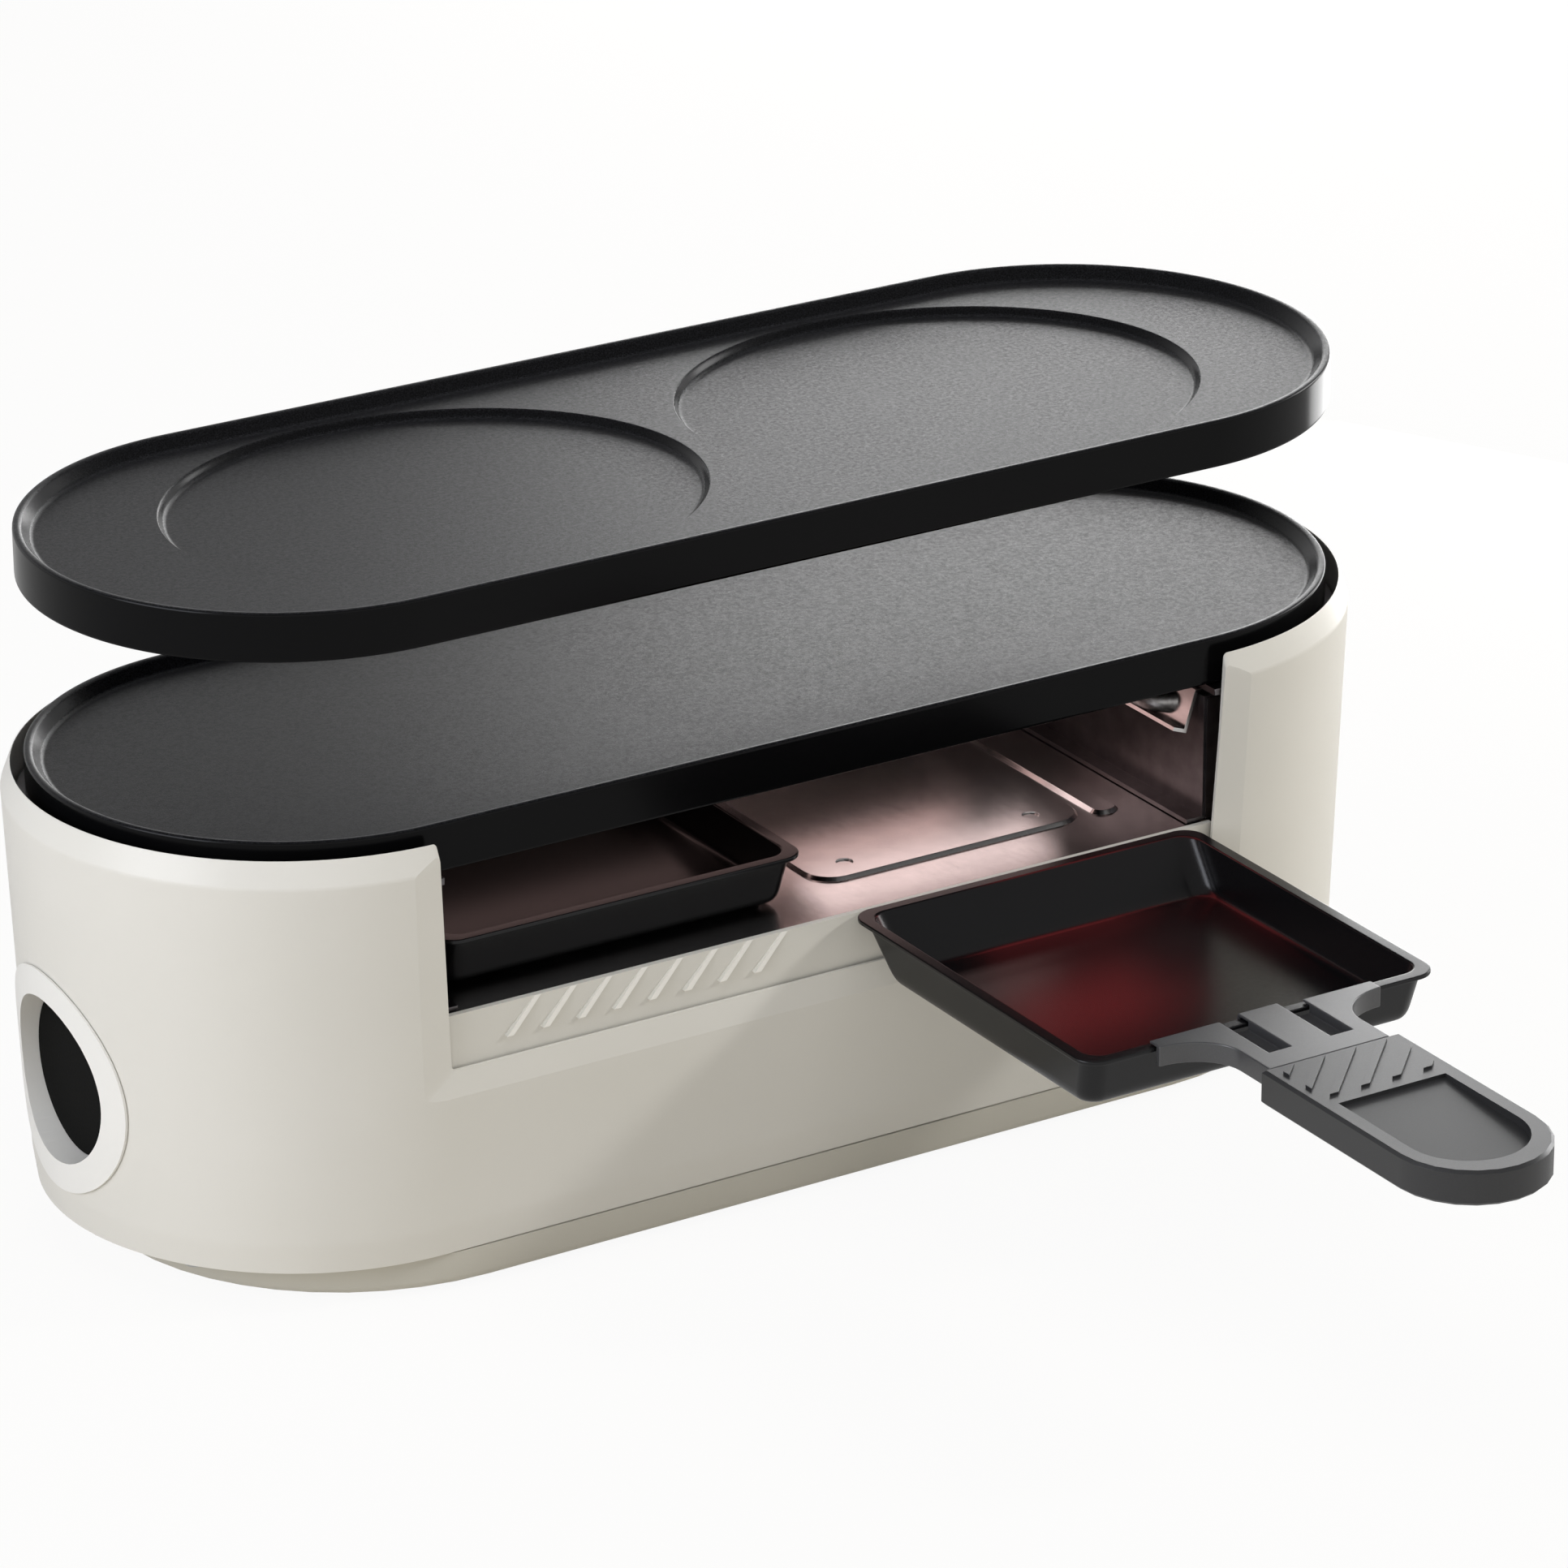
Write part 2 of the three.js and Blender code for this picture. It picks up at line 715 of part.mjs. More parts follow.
// Pan bay
function trayBody() {
  const edge = bayHalf - seatGap
  const front = apronFace + apronThickness + seatGap
  const rear = bayRear - seatGap
  const sheet = block(-edge, edge, front, rear, trayHeight - traySheet, trayHeight)
  const raised = []
  const dimples = []
  const panelFront = apronFace + apronThickness + panelFrontBorder
  for (const side of [1, -1]) {
    const strip = (from, to, corner) => {
      const near = side > 0 ? from : -to
      const far = side > 0 ? to : -from
      return loft([
        boxRing(near, far, panelFront, rear, corner, trayHeight - cleanCut),
        boxRing(near, far, panelFront, rear, corner, trayHeight),
        boxRing(near + panelSlope, far - panelSlope, panelFront + panelSlope, rear - panelSlope,
          corner - panelSlope, panelTop),
      ])
    }
    const panelEnd = panelMiddleBorder + panelLength
    raised.push(strip(panelMiddleBorder, panelEnd, panelCorner))
    raised.push(strip(panelEnd + ribGap, panelEnd + ribGap + ribWidth, ribWidth / 2 - cleanCut))
    for (const x of [panelMiddleBorder + dimpleInset, panelEnd - dimpleInset]) {
      dimples.push(postAt(side * x, panelFront + dimpleFromPanelFront, dimpleRadius,
        panelTop - dimpleDepth, panelTop + cutOverrun))
    }
  }
  return without(joined(sheet, ...raised), ...dimples)
}

function sideWallBody(side) {
  const inner = bayHalf
  const outer = bayHalf + sideWallSheet
  const foot = sideWallFootZ + sideWallSheet
  const shoulder = sideWallTop - sideWallSheet
  const outline = [
    [inner - sideWallFoot, sideWallFootZ],
    [outer, sideWallFootZ],
    [outer, shoulder],
    [outer + sideWallTopFlange, shoulder],
    [outer + sideWallTopFlange, sideWallTop],
    [inner, sideWallTop],
    [inner, foot],
    [inner - sideWallFoot, foot],
  ].map(([x, z]) => [side * x, z])
  const front = apronFace + apronThickness + seatGap
  const bend = sideWallSheet / 2
  const edges = [side * (inner + bend), side * (inner + sideWallFrontFlange)]
  const frontFlange = block(Math.min(...edges), Math.max(...edges), front, front + sideWallSheet,
    sideWallFootZ + bend, sideWallTop - bend)
  return joined(drawnAlongY(outline, front + bend, bayRear - seatGap), frontFlange)
}

function rearWallBody() {
  const bottom = trayHeight - rearWallBelowTray
  const outline = [
    [bayRear - wallFlange, bottom],
    [bayRear + rearWallSheet, bottom],
    [bayRear + rearWallSheet, sideWallTop],
    [bayRear, sideWallTop],
    [bayRear, bottom + rearWallSheet],
    [bayRear - wallFlange, bottom + rearWallSheet],
  ]
  const holes = wallBossPlaces().map(([x, y]) =>
    postAt(x, y, screwRadius + screwClearance, bottom - cutOverrun, bottom + cutOverrun))
  return without(drawnAlongX(outline, -bayHalf, bayHalf), ...holes)
}

function deckBody(side) {
  const radius = shellInnerRadius - seatGap
  const edge = bayHalf + seatGap
  const oval = loft([deckBottom, deckTop].map(z => ovalRing(plateStraight, radius, z)))
  const far = straightHalf + radius + cutOverrun
  const keep = side > 0 ? [edge, far] : [-far, -edge]
  return oval.intersect(block(...keep, -radius - cutOverrun, radius + cutOverrun,
    deckBottom - cutOverrun, deckTop + cutOverrun))
}

// Apron with a row of leaning stripes in front of each pan, each a wedge that stands proud at its foot
function apronBody() {
  const half = bayHalf + apronOverlap
  const back = apronFace + apronThickness
  const outline = [
    [apronFace, apronBottom],
    [apronFace + wallFlange, apronBottom],
    [apronFace + wallFlange, apronBottom + apronThickness],
    [back, apronBottom + apronThickness],
    [back, apronTop],
    [apronFace, apronTop],
  ]
  const holes = wallBossPlaces().map(([x, y]) =>
    postAt(x, y, screwRadius + screwClearance, apronBottom - cutOverrun, apronBottom + cutOverrun))
  const stripes = []
  const row = stripePitch * (stripeCount - 1) + stripeLean
  const foot = apronTop - stripeHeight
  const wedge = drawnAlongX([
    [apronFace + cleanCut, foot],
    [apronFace - stripeFootProud, foot],
    [apronFace - stripeTopProud, apronTop],
    [apronFace + cleanCut, apronTop],
  ], -half, half)
  for (const side of [1, -1]) {
    for (let count = 0; count < stripeCount; count += 1) {
      const x = side * panCentreX - row / 2 + count * stripePitch
      const stripe = drawnAlongY([
        [x - stripeWidth / 2, foot],
        [x + stripeWidth / 2, foot],
        [x + stripeWidth / 2 + stripeLean, apronTop],
        [x - stripeWidth / 2 + stripeLean, apronTop],
      ], apronFace - stripeFootProud - cleanCut, apronFace + 2 * cleanCut)
      stripes.push(stripe.intersect(wedge))
    }
  }
  return joined(without(drawnAlongX(outline, -half, half), ...holes), ...stripes)
}

// Cups in the ends: a ring that lies on the shell and a short tube behind it
function cupBody(side) {
  const far = side * (cupEndX + cutOverrun)
  const near = side * (cupPlateX - cupPlateThickness - seatGap - cupLipThickness)
  const span = [Math.min(far, near), Math.max(far, near)]
  const rod = radius => rodAlongX(0, cupHeight, radius, ...span)
  const outerForm = shellForm(seatGap + cupRingProud)
  const ring = without(rod(cupRingRadius).intersect(outerForm), shellForm(seatGap))
  const tube = rod(cupRadius + cupWall).intersect(outerForm)
  const seat = side * (cupPlateX - cupPlateThickness - seatGap)
  const bore = rodAlongX(0, cupHeight, cupRadius, Math.min(far, seat), Math.max(far, seat))
  const window = rod(cupRadius - cupLip)
  return without(joined(ring, tube), bore, window, windowEnd(side, near))
}

function windowEnd(side, near) {
  const end = near - side * cutOverrun
  return rodAlongX(0, cupHeight, cupRadius - cupLip, Math.min(near, end), Math.max(near, end))
}

function cupPlate(side) {
  const outer = side * cupPlateX
  const inner = side * (cupPlateX - cupPlateThickness)
  return rodAlongX(0, cupHeight, cupRadius - seatGap, Math.min(outer, inner), Math.max(outer, inner))
}

// Inlet: a plate with a pocket for a plug, and three flat pins through its floor
function inletBody() {
  const deep = cupPlateX - inletPocketDepth
  const boxBack = deep - inletWall
  const halfWidth = inletBoxWidth / 2
  const halfHeight = inletBoxHeight / 2
  const box = block(boxBack, cupPlateX - cleanCut, -halfWidth, halfWidth,
    cupHeight - halfHeight, cupHeight + halfHeight)
  const pocket = block(deep, cupPlateX + cutOverrun, inletWall - halfWidth, halfWidth - inletWall,
    cupHeight - halfHeight + inletWall, cupHeight + halfHeight - inletWall)
  const pinHoles = pinPlaces().map(([y, z]) => block(boxBack - cutOverrun, deep + cutOverrun,
    y - pinThickness / 2 - seatGap, y + pinThickness / 2 + seatGap,
    z - pinWidth / 2 - seatGap, z + pinWidth / 2 + seatGap))
  return without(joined(cupPlate(1), box), pocket, ...pinHoles)
}

function pinPlaces() {
  return [
    [-pinSpread, cupHeight - pinOffset],
    [0, cupHeight + pinOffset],
    [pinSpread, cupHeight - pinOffset],
  ]
}

function pinBody([y, z]) {
  const back = cupPlateX - inletPocketDepth - inletWall - pinWidth
  return block(back, back + pinLength, y - pinThickness / 2, y + pinThickness / 2,
    z - pinWidth / 2, z + pinWidth / 2)
}

// Heating element: one bar that enters at the right, loops under the plate and leaves again
function elementPath() {
  const outletX = elementSideX + elementOutletBend + elementOutlet
  const at = (x, y) => new THREE.Vector3(x, y, elementZ)
  return {
    corners: [
      at(outletX, -elementLegY),
      at(elementSideX, -elementLegY),
      at(elementSideX, -elementRunY),
      at(-elementSideX, -elementRunY),
      at(-elementSideX, elementRunY),
      at(elementSideX, elementRunY),
      at(elementSideX, elementLegY),
      at(outletX, elementLegY),
    ],
    radii: [
      elementOutletBend, elementBend, elementBend, elementBend, elementBend, elementOutletBend,
    ],
    end: outletX,
  }
}

function elementBar(radius) {
  const path = elementPath()
  return bentBar(path.corners, path.radii, radius, elementSteps)
}

function elementBody() {
  const end = elementPath().end
  const studs = [-1, 1].map(side => rodAlongX(side * elementLegY, elementZ, studRadius,
    end - studRadius, end + studLength, barSides))
  return joined(elementBar(elementRadius), ...studs)
}

function beadBody(side) {
  const start = elementPath().end + seatGap
  const bead = turned([
    [studRadius + seatGap, 0],
    [beadRadius - cleanCut, 0],
    [beadRadius, cleanCut],
    [beadRadius, beadLength - cleanCut],
    [beadRadius - cleanCut, beadLength],
    [studRadius + seatGap, beadLength],
    [studRadius + seatGap, 0],
  ])
  return bead.rotate([0, 90, 0]).translate([start, side * elementLegY, elementZ])
}

// Trough: a bent strip that hangs from the side wall's top, and that the element lies in
function troughBody(side, length) {
  const [tipX, tipZ] = troughTip
  const [shoulderX, shoulderZ] = troughShoulder
  const outline = foldedSheet([
    [tipX - troughLip, tipZ + troughLipRise],
    [tipX, tipZ],
    [shoulderX, shoulderZ],
    [bayHalf + troughTab, shoulderZ],
  ], troughSheet).map(([x, z]) => [side * x, z])
  return drawnAlongY(outline, -length / 2, length / 2)
}

function thermostatBody() {
  const start = bayHalf + sideWallSheet + seatGap
  const body = turned([
    [0, 0],
    [thermostatFlangeRadius, 0],
    [thermostatFlangeRadius, thermostatFlange],
    [thermostatRadius, thermostatFlange],
    [thermostatRadius, thermostatDepth],
    [0, thermostatDepth],
  ], roundSides)
  return body.rotate([0, 90, 0]).translate([start, thermostatY, deckBottom - thermostatBelowDeck])
}

// Leads between the inlet, the thermostat and the element, kept inside the right end
function leadBody(from, fromWay, to, toWay) {
  const ahead = way => new THREE.Vector3(way * leadStraight, 0, 0)
  const middle = from.clone().add(to).multiplyScalar(1 / 2)
  middle.x = Math.max(middle.x, from.x + leadStraight)
  const path = new THREE.CatmullRomCurve3([
    from,
    from.clone().add(ahead(fromWay)),
    middle,
    to.clone().add(ahead(toWay)),
    to,
  ])
  return barAlong(path, leadRadius, leadSteps)
}

function leads() {
  const thermostatFace = bayHalf + sideWallSheet + 2 * seatGap + thermostatDepth
  const thermostatZ = deckBottom - thermostatBelowDeck
  const studEnd = elementPath().end + studLength + seatGap
  const pinBack = cupPlateX - inletPocketDepth - inletWall - pinWidth - seatGap
  const at = (x, y, z) => new THREE.Vector3(x, y, z)
  const [live, earth, neutral] = pinPlaces().map(([y, z]) => at(pinBack, y, z))
  const earthTab = at(bayHalf + sideWallSheet + seatGap, earthY, deckBottom - earthBelowDeck)
  return {
    lead_element: leadBody(at(studEnd, -elementLegY, elementZ), 1,
      at(thermostatFace, thermostatY - leadSpread, thermostatZ), 1),
    lead_live: leadBody(at(thermostatFace, thermostatY + leadSpread, thermostatZ), 1, live, -1),
    lead_neutral: leadBody(at(studEnd, elementLegY, elementZ), 1, neutral, -1),
    lead_earth: leadBody(earthTab, 1, earth, -1),
  }
}

// Pans: thin cast trays with a flat flange, the back wall sloping more than the others
function panBody(centreX, centreY, z) {
  const ring = (inset, side, front, back, height, corner) => boxRing(
    centreX - panWidth / 2 + inset + side,
    centreX + panWidth / 2 - inset - side,
    centreY - panDepth / 2 + inset + front,
    centreY + panDepth / 2 - inset - back,
    corner, z + height)
  const sloped = (inset, share, height, corner) => ring(inset,
    panSideSlope * share, panFrontSlope * share, panBackSlope * share, height, corner)
  const under = panHeight - panFlangeThickness
  const wallCorner = panCorner - cleanCut
  const inside = panFlange + panWall
  const foot = (inset, radius, floor) => {
    const rings = []
    for (let step = 0; step <= footSteps; step += 1) {
      const angle = Math.PI / 2 * (step / footSteps)
      const bend = radius * (1 - Math.sin(angle))
      rings.push(sloped(inset + bend, 1, floor + radius * (1 - Math.cos(angle)), wallCorner - bend))
    }
    return rings
  }
  return loft([
    ...foot(panFlange, panFootRound, 0),
    sloped(panFlange, 0, under, wallCorner),
    sloped(0, 0, under, panCorner),
    sloped(0, 0, panHeight - panEdgeRound, panCorner),
    sloped(panEdgeRound, 0, panHeight, panCorner - panEdgeRound),
    sloped(inside - 2 * panEdgeRound, 0, panHeight, wallCorner),
    sloped(inside - panEdgeRound, 0, panHeight - panEdgeRound, wallCorner),
    ...foot(inside, panFootRound - panWall, panFloor).reverse(),
  ])
}

// Clip-on handle: a bracket that hooks over the pan's front rim, and a moulded grip
const rimFront = rightPanY - panDepth / 2
const rimTop = rightPanZ + panHeight
const bracketTop = rimTop + seatGap + hookThickness
const bracketEnd = rimFront - bracketLength
const gripTop = bracketTop + gripProud
const gripBottom = gripTop - gripThickness
const spigotTop = bracketTop - spigotDepth
const handleX = rightPanX
const hookEnd = rimFront + panFlange + panWall - 2 * panEdgeRound

function bracketBody() {
  const tipHalf = bracketTipWidth / 2
  const neckHalf = bracketNeckWidth / 2
  const start = rimFront - seatGap
  const tipY = rimFront - bracketTipDepth
  const right = [[tipHalf, start]]
  for (let step = 0; step <= 2 * cornerSteps; step += 1) {
    const angle = Math.PI / 2 * (step / (2 * cornerSteps))
    right.push([
      tipHalf - (tipHalf - neckHalf) * Math.sin(angle),
      tipY - bracketCurve * (1 - Math.cos(angle)),
    ])
  }
  right.push([neckHalf, bracketEnd])
  const left = right.map(([x, y]) => [-x, y]).reverse()
  const outline = [...right, ...left].map(([x, y]) => [handleX + x, y])
  const body = drawnUp(outline, bracketTop - bracketThickness, bracketTop)
  const hook = block(handleX - tipHalf, handleX + tipHalf, start - cleanCut, hookEnd,
    bracketTop - hookThickness, bracketTop)
  const tongue = drawnAlongX(tongueOutline(), handleX - tongueWidth / 2, handleX + tongueWidth / 2)
  const slots = [1, -1].map(side => {
    const near = handleX + side * tongueWidth / 2
    const far = handleX + side * (tongueWidth / 2 + slotWidth)
    return block(Math.min(near, far), Math.max(near, far), rimFront - slotFromRim,
      hookEnd + cutOverrun, bracketTop - slotDepth, bracketTop + cutOverrun)
  })
  const spigot = block(handleX - spigotWidth / 2, handleX + spigotWidth / 2,
    bracketEnd - spigotLength, bracketEnd + cleanCut, spigotTop - spigotThickness, spigotTop)
  const screwHole = postAt(handleX, bracketEnd - handleScrewPlace, screwRadius + seatGap,
    spigotTop - spigotThickness - cutOverrun, spigotTop + cleanCut)
  return joined(without(joined(body, hook), ...slots), tongue, without(spigot, screwHole))
}

function tongueOutline() {
  const wallRise = panHeight - panEdgeRound - panFloor - panFootRound + panWall
  const wallSlope = (panFrontSlope + panEdgeRound) / wallRise
  const reach = tongueDrop * wallSlope
  const clear = hookEnd + 2 * seatGap
  return [
    [rimFront, bracketTop - hookThickness],
    [clear, bracketTop - hookThickness],
    [clear + reach, bracketTop - hookThickness - tongueDrop],
    [clear + reach + tongueSheet, bracketTop - hookThickness - tongueDrop],
    [clear + tongueSheet, bracketTop],
    [rimFront, bracketTop],
  ]
}

function gripRing(inset, z) {
  const half = gripWidth / 2 - inset
  const start = bracketEnd - seatGap - inset
  const centreY = bracketEnd - seatGap - gripLength + gripWidth / 2
  const points = [new THREE.Vector3(handleX - half, start, z)]
  for (let step = 0; step <= 2 * roundSides / 4; step += 1) {
    const angle = Math.PI * (1 + step / (2 * roundSides / 4))
    points.push(new THREE.Vector3(handleX + half * Math.cos(angle), centreY + half * Math.sin(angle), z))
  }
  points.push(new THREE.Vector3(handleX + half, start, z))
  return points
}

function gripBody() {
  const body = loft([
    gripRing(gripChamfer, gripBottom),
    gripRing(0, gripBottom + gripChamfer),
    gripRing(0, gripTop - gripChamfer),
    gripRing(gripChamfer, gripTop),
  ])
  const socket = block(
    handleX - spigotWidth / 2 - seatGap, handleX + spigotWidth / 2 + seatGap,
    bracketEnd - spigotLength - seatGap, bracketEnd + cutOverrun,
    spigotTop - spigotThickness - seatGap, spigotTop + seatGap)
  const screwY = bracketEnd - handleScrewPlace
  const shoulder = spigotTop - spigotThickness - seatGap - gripChamfer
  const headRoom = postAt(handleX, screwY, screwHeadRadius + screwClearance,
    gripBottom - cutOverrun, shoulder, smallSides)
  const shankRoom = postAt(handleX, screwY, screwRadius + screwClearance, gripBottom, spigotTop)
  return joined(without(body, socket, headRoom, shankRoom, gripRecess()), ...gripRibs())
}

function gripRecess() {
  const end = bracketEnd - seatGap - gripLength + gripRecessFromEnd
  const half = gripRecessWidth / 2
  const outline = [[handleX + half, end + gripRecessLength], [handleX - half, end + gripRecessLength]]
  for (let step = 0; step <= roundSides / 2; step += 1) {
    const angle = Math.PI * (1 + step / (roundSides / 2))
    outline.push([handleX + half * Math.cos(angle), end + half + half * Math.sin(angle)])
  }
  return drawnUp(outline, gripTop - gripRecessDepth, gripTop + cutOverrun)
}

function gripRibs() {
  const start = bracketEnd - seatGap - gripRibStart
  const end = start - gripRibZone
  const half = gripWidth / 2 - gripRibSideMargin
  const zone = block(handleX - half, handleX + half, end, start,
    gripTop - gripRibProud, gripTop + gripRibProud)
  const ribs = []
  for (let count = 0; count < gripRibCount; count += 1) {
    const middle = handleX + gripRibPitch * (count - (gripRibCount - 1) / 2)
    const lean = gripRibZone / 2
    const outline = [
      [middle - lean - gripRibWidth / 2, end],
      [middle - lean + gripRibWidth / 2, end],
      [middle + lean + gripRibWidth / 2, start],
      [middle + lean - gripRibWidth / 2, start],
    ]
    ribs.push(drawnUp(outline, gripTop - gripRibProud, gripTop + gripRibProud).intersect(zone))
  }
  return ribs
}

function handleScrew() {
  const seat = spigotTop - spigotThickness - seatGap - gripChamfer
  const reach = spigotTop - seatGap - seat + screwHeadHeight - screwRadius
  return screwBody(handleX, bracketEnd - handleScrewPlace,
    seat - seatGap - screwHeadHeight, reach - screwHeadHeight + seatGap, false)
}

// The pieces
const corners = ['front_right', 'front_left', 'rear_right', 'rear_left']

piece('shell', shellBody(), 'shell')
piece('base_pan', baseBody(), 'shell')
footPlaces().forEach(([x, y], place) => piece(`foot_${corners[place]}`, footBody(x, y), 'rubber'))
baseScrewPlaces().forEach(([x, y], place) => {
  const head = plinthTop - 2 * seatGap - screwHeadHeight
  const length = baseBossHeight + closingPlate - screwTipShort
  piece(`base_screw_${corners[place]}`, screwBody(x, y, head, length, false), 'steel')
})
piece('apron', apronBody(), 'shell')
piece('rear_wall', rearWallBody(), 'darkSteel')
wallBossPlaces().forEach(([x, y], place) => {
  const frontPiece = y < 0
  const seat = frontPiece ? apronBottom + apronThickness : apronBottom + rearWallSheet
  const head = seat + seatGap + screwHeadHeight
  const length = wallBossHeight / 2
  piece(`wall_screw_${corners[place]}`, screwBody(x, y, head, length, true), 'steel')
})
piece('reflector_tray', trayBody(), 'steel')

const elementRoom = elementBar(elementRadius + elementClearance)
piece('side_wall_right', without(sideWallBody(1), elementRoom), 'darkSteel')
piece('side_wall_left', sideWallBody(-1), 'darkSteel')
piece('trough_right', without(troughBody(1, troughLengthRight), elementRoom), 'steel')
piece('trough_left', without(troughBody(-1, troughLengthLeft), elementRoom), 'steel')
piece('heating_element', elementBody(), 'element')
piece('element_bead_front', beadBody(-1), 'ceramic')
piece('element_bead_rear', beadBody(1), 'ceramic')
piece('end_deck_right', deckBody(1), 'darkSteel')
piece('end_deck_left', deckBody(-1), 'darkSteel')
piece('thermostat', thermostatBody(), 'black')
const leadFinishes = {
  lead_element: 'leadRed',
  lead_live: 'leadRed',
  lead_neutral: 'leadBlue',
  lead_earth: 'leadGreen',
}
for (const [name, solid] of Object.entries(leads())) {
  piece(name, solid, leadFinishes[name])
}

piece('cup_right', cupBody(1), 'shell')
piece('cup_left', cupBody(-1), 'shell')
piece('cup_plate_left', cupPlate(-1), 'black')
piece('inlet', inletBody(), 'black')
const pinNames = ['live', 'earth', 'neutral']
pinPlaces().forEach((place, count) => piece(`inlet_pin_${pinNames[count]}`, pinBody(place), 'brass'))

piece('lower_plate', plateBody(lowerPlateZ), 'coating')
piece('upper_plate', without(plateBody(upperPlateZ), plateOvals(upperPlateZ)), 'coating')
piece('pan_left', panBody(-panCentreX, leftPanY, leftPanZ), 'pan')
piece('pan_right', panBody(rightPanX, rightPanY, rightPanZ), 'pan')
piece('handle_bracket', bracketBody(), 'pan')
piece('handle_grip', gripBody(), 'grip')
piece('handle_screw', handleScrew(), 'steel')

export default grill
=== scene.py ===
# %% [markdown]
# # Dressing a table-top raclette grill
# The solids of the grill come from a CAD model whose places and joints are fixed. This lesson gives
# them rounded edges and finishes: cream moulding, granular coated castings, sheet steel and a hot
# element. Lengths are written in millimetres, as on a drawing, and turned into metres in one place.
# Only the places of the camera and the lamps are in metres.

# %% The fixed frame
import json
import math
import bpy
import bmesh
from mathutils import Matrix, Vector

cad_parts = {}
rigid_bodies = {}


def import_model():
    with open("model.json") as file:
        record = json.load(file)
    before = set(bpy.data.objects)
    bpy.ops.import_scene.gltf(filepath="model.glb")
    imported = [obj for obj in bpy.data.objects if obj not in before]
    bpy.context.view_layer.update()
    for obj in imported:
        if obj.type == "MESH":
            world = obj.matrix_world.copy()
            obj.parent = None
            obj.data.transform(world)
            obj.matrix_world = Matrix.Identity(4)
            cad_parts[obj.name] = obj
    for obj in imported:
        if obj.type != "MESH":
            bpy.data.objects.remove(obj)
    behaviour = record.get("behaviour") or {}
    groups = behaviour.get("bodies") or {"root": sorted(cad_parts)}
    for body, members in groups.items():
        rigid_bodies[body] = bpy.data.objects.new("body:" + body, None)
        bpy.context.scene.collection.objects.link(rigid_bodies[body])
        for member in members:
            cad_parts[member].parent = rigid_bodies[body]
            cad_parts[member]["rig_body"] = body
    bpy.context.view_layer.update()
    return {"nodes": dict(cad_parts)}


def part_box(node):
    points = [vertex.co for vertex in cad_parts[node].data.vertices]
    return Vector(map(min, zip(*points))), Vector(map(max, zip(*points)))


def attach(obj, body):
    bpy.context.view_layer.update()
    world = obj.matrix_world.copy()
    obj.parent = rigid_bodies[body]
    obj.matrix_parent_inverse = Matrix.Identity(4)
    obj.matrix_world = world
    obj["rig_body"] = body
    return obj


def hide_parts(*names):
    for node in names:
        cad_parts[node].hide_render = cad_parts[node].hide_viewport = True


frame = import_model()
nodes = frame["nodes"]
body_of_node = {name: node["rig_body"] for name, node in nodes.items()}

# %% [markdown]
# ## Camera
# A photograph of a product is taken from far away with a long lens, so that parallel edges stay
# nearly parallel. The camera stands to the front left, a little above the grill. Its three
# directions are written out as vectors: that is surer than angles when the camera also rolls. A
# small shift moves the picture and leaves the perspective as it is.

# %% Camera
SENSOR_WIDTH = 36
LENS = 166.98
SHIFT_X, SHIFT_Y = -0.0108, -0.0053
camera_place = Vector((-0.910244, -1.532060, 0.832024))
camera_right = Vector((0.850273, -0.526307, -0.005985))
camera_down = Vector((-0.207088, -0.324062, -0.923092))
camera_ahead = Vector((0.483890, 0.786120, -0.384533))

camera_data = bpy.data.cameras.new("camera")
camera_data.sensor_width = SENSOR_WIDTH
camera_data.lens = LENS
camera_data.shift_x = SHIFT_X
camera_data.shift_y = SHIFT_Y
camera = bpy.data.objects.new("camera", camera_data)
turn = Matrix((camera_right, -camera_down, -camera_ahead)).transposed().to_4x4()
camera.matrix_world = Matrix.Translation(camera_place) @ turn
bpy.context.scene.collection.objects.link(camera)
bpy.context.scene.camera = camera
print("camera", round(camera_place.length, 2), "m from the grill")

# %% [markdown]
# ## Mesh helpers
# Most pieces of the grill are rings stacked into a skin: ovals for the shell and plates, rounded
# boxes for the pans. A profile with its corners rounded first gives rings that are close together
# where the surface turns, and far apart where it is flat.

# %% Rings and rounded profiles
MM = 0.001
OVAL_STEPS = 64
CORNER_STEPS = 10
MOST_OF_A_SIDE = 0.45


def oval_ring(straight, radius, z, steps=OVAL_STEPS):
    """A stadium outline round the Z axis: two half circles joined by straight sides."""
    points = []
    for side in (1, -1):
        for step in range(steps + 1):
            angle = math.pi * (step / steps - 0.5)
            points.append((side * (straight / 2 + radius * math.cos(angle)),
                           side * radius * math.sin(angle), z))
    return points


def box_ring(low_x, high_x, low_y, high_y, radius, z, steps=CORNER_STEPS):
    """A rectangle with four rounded corners at one height."""
    corners = [(high_x - radius, low_y + radius, -0.5), (high_x - radius, high_y - radius, 0),
               (low_x + radius, high_y - radius, 0.5), (low_x + radius, low_y + radius, 1)]
    points = []
    for x, y, start in corners:
        for step in range(steps + 1):
            angle = math.pi * (start + step / steps / 2)
            points.append((x + radius * math.cos(angle), y + radius * math.sin(angle), z))
    return points


def ellipse_ring(centre_x, half_length, half_width, z, steps=2 * OVAL_STEPS):
    """An ellipse at one height."""
    angles = [2 * math.pi * step / steps for step in range(steps)]
    return [(centre_x + half_length * math.cos(a), half_width * math.sin(a), z) for a in angles]


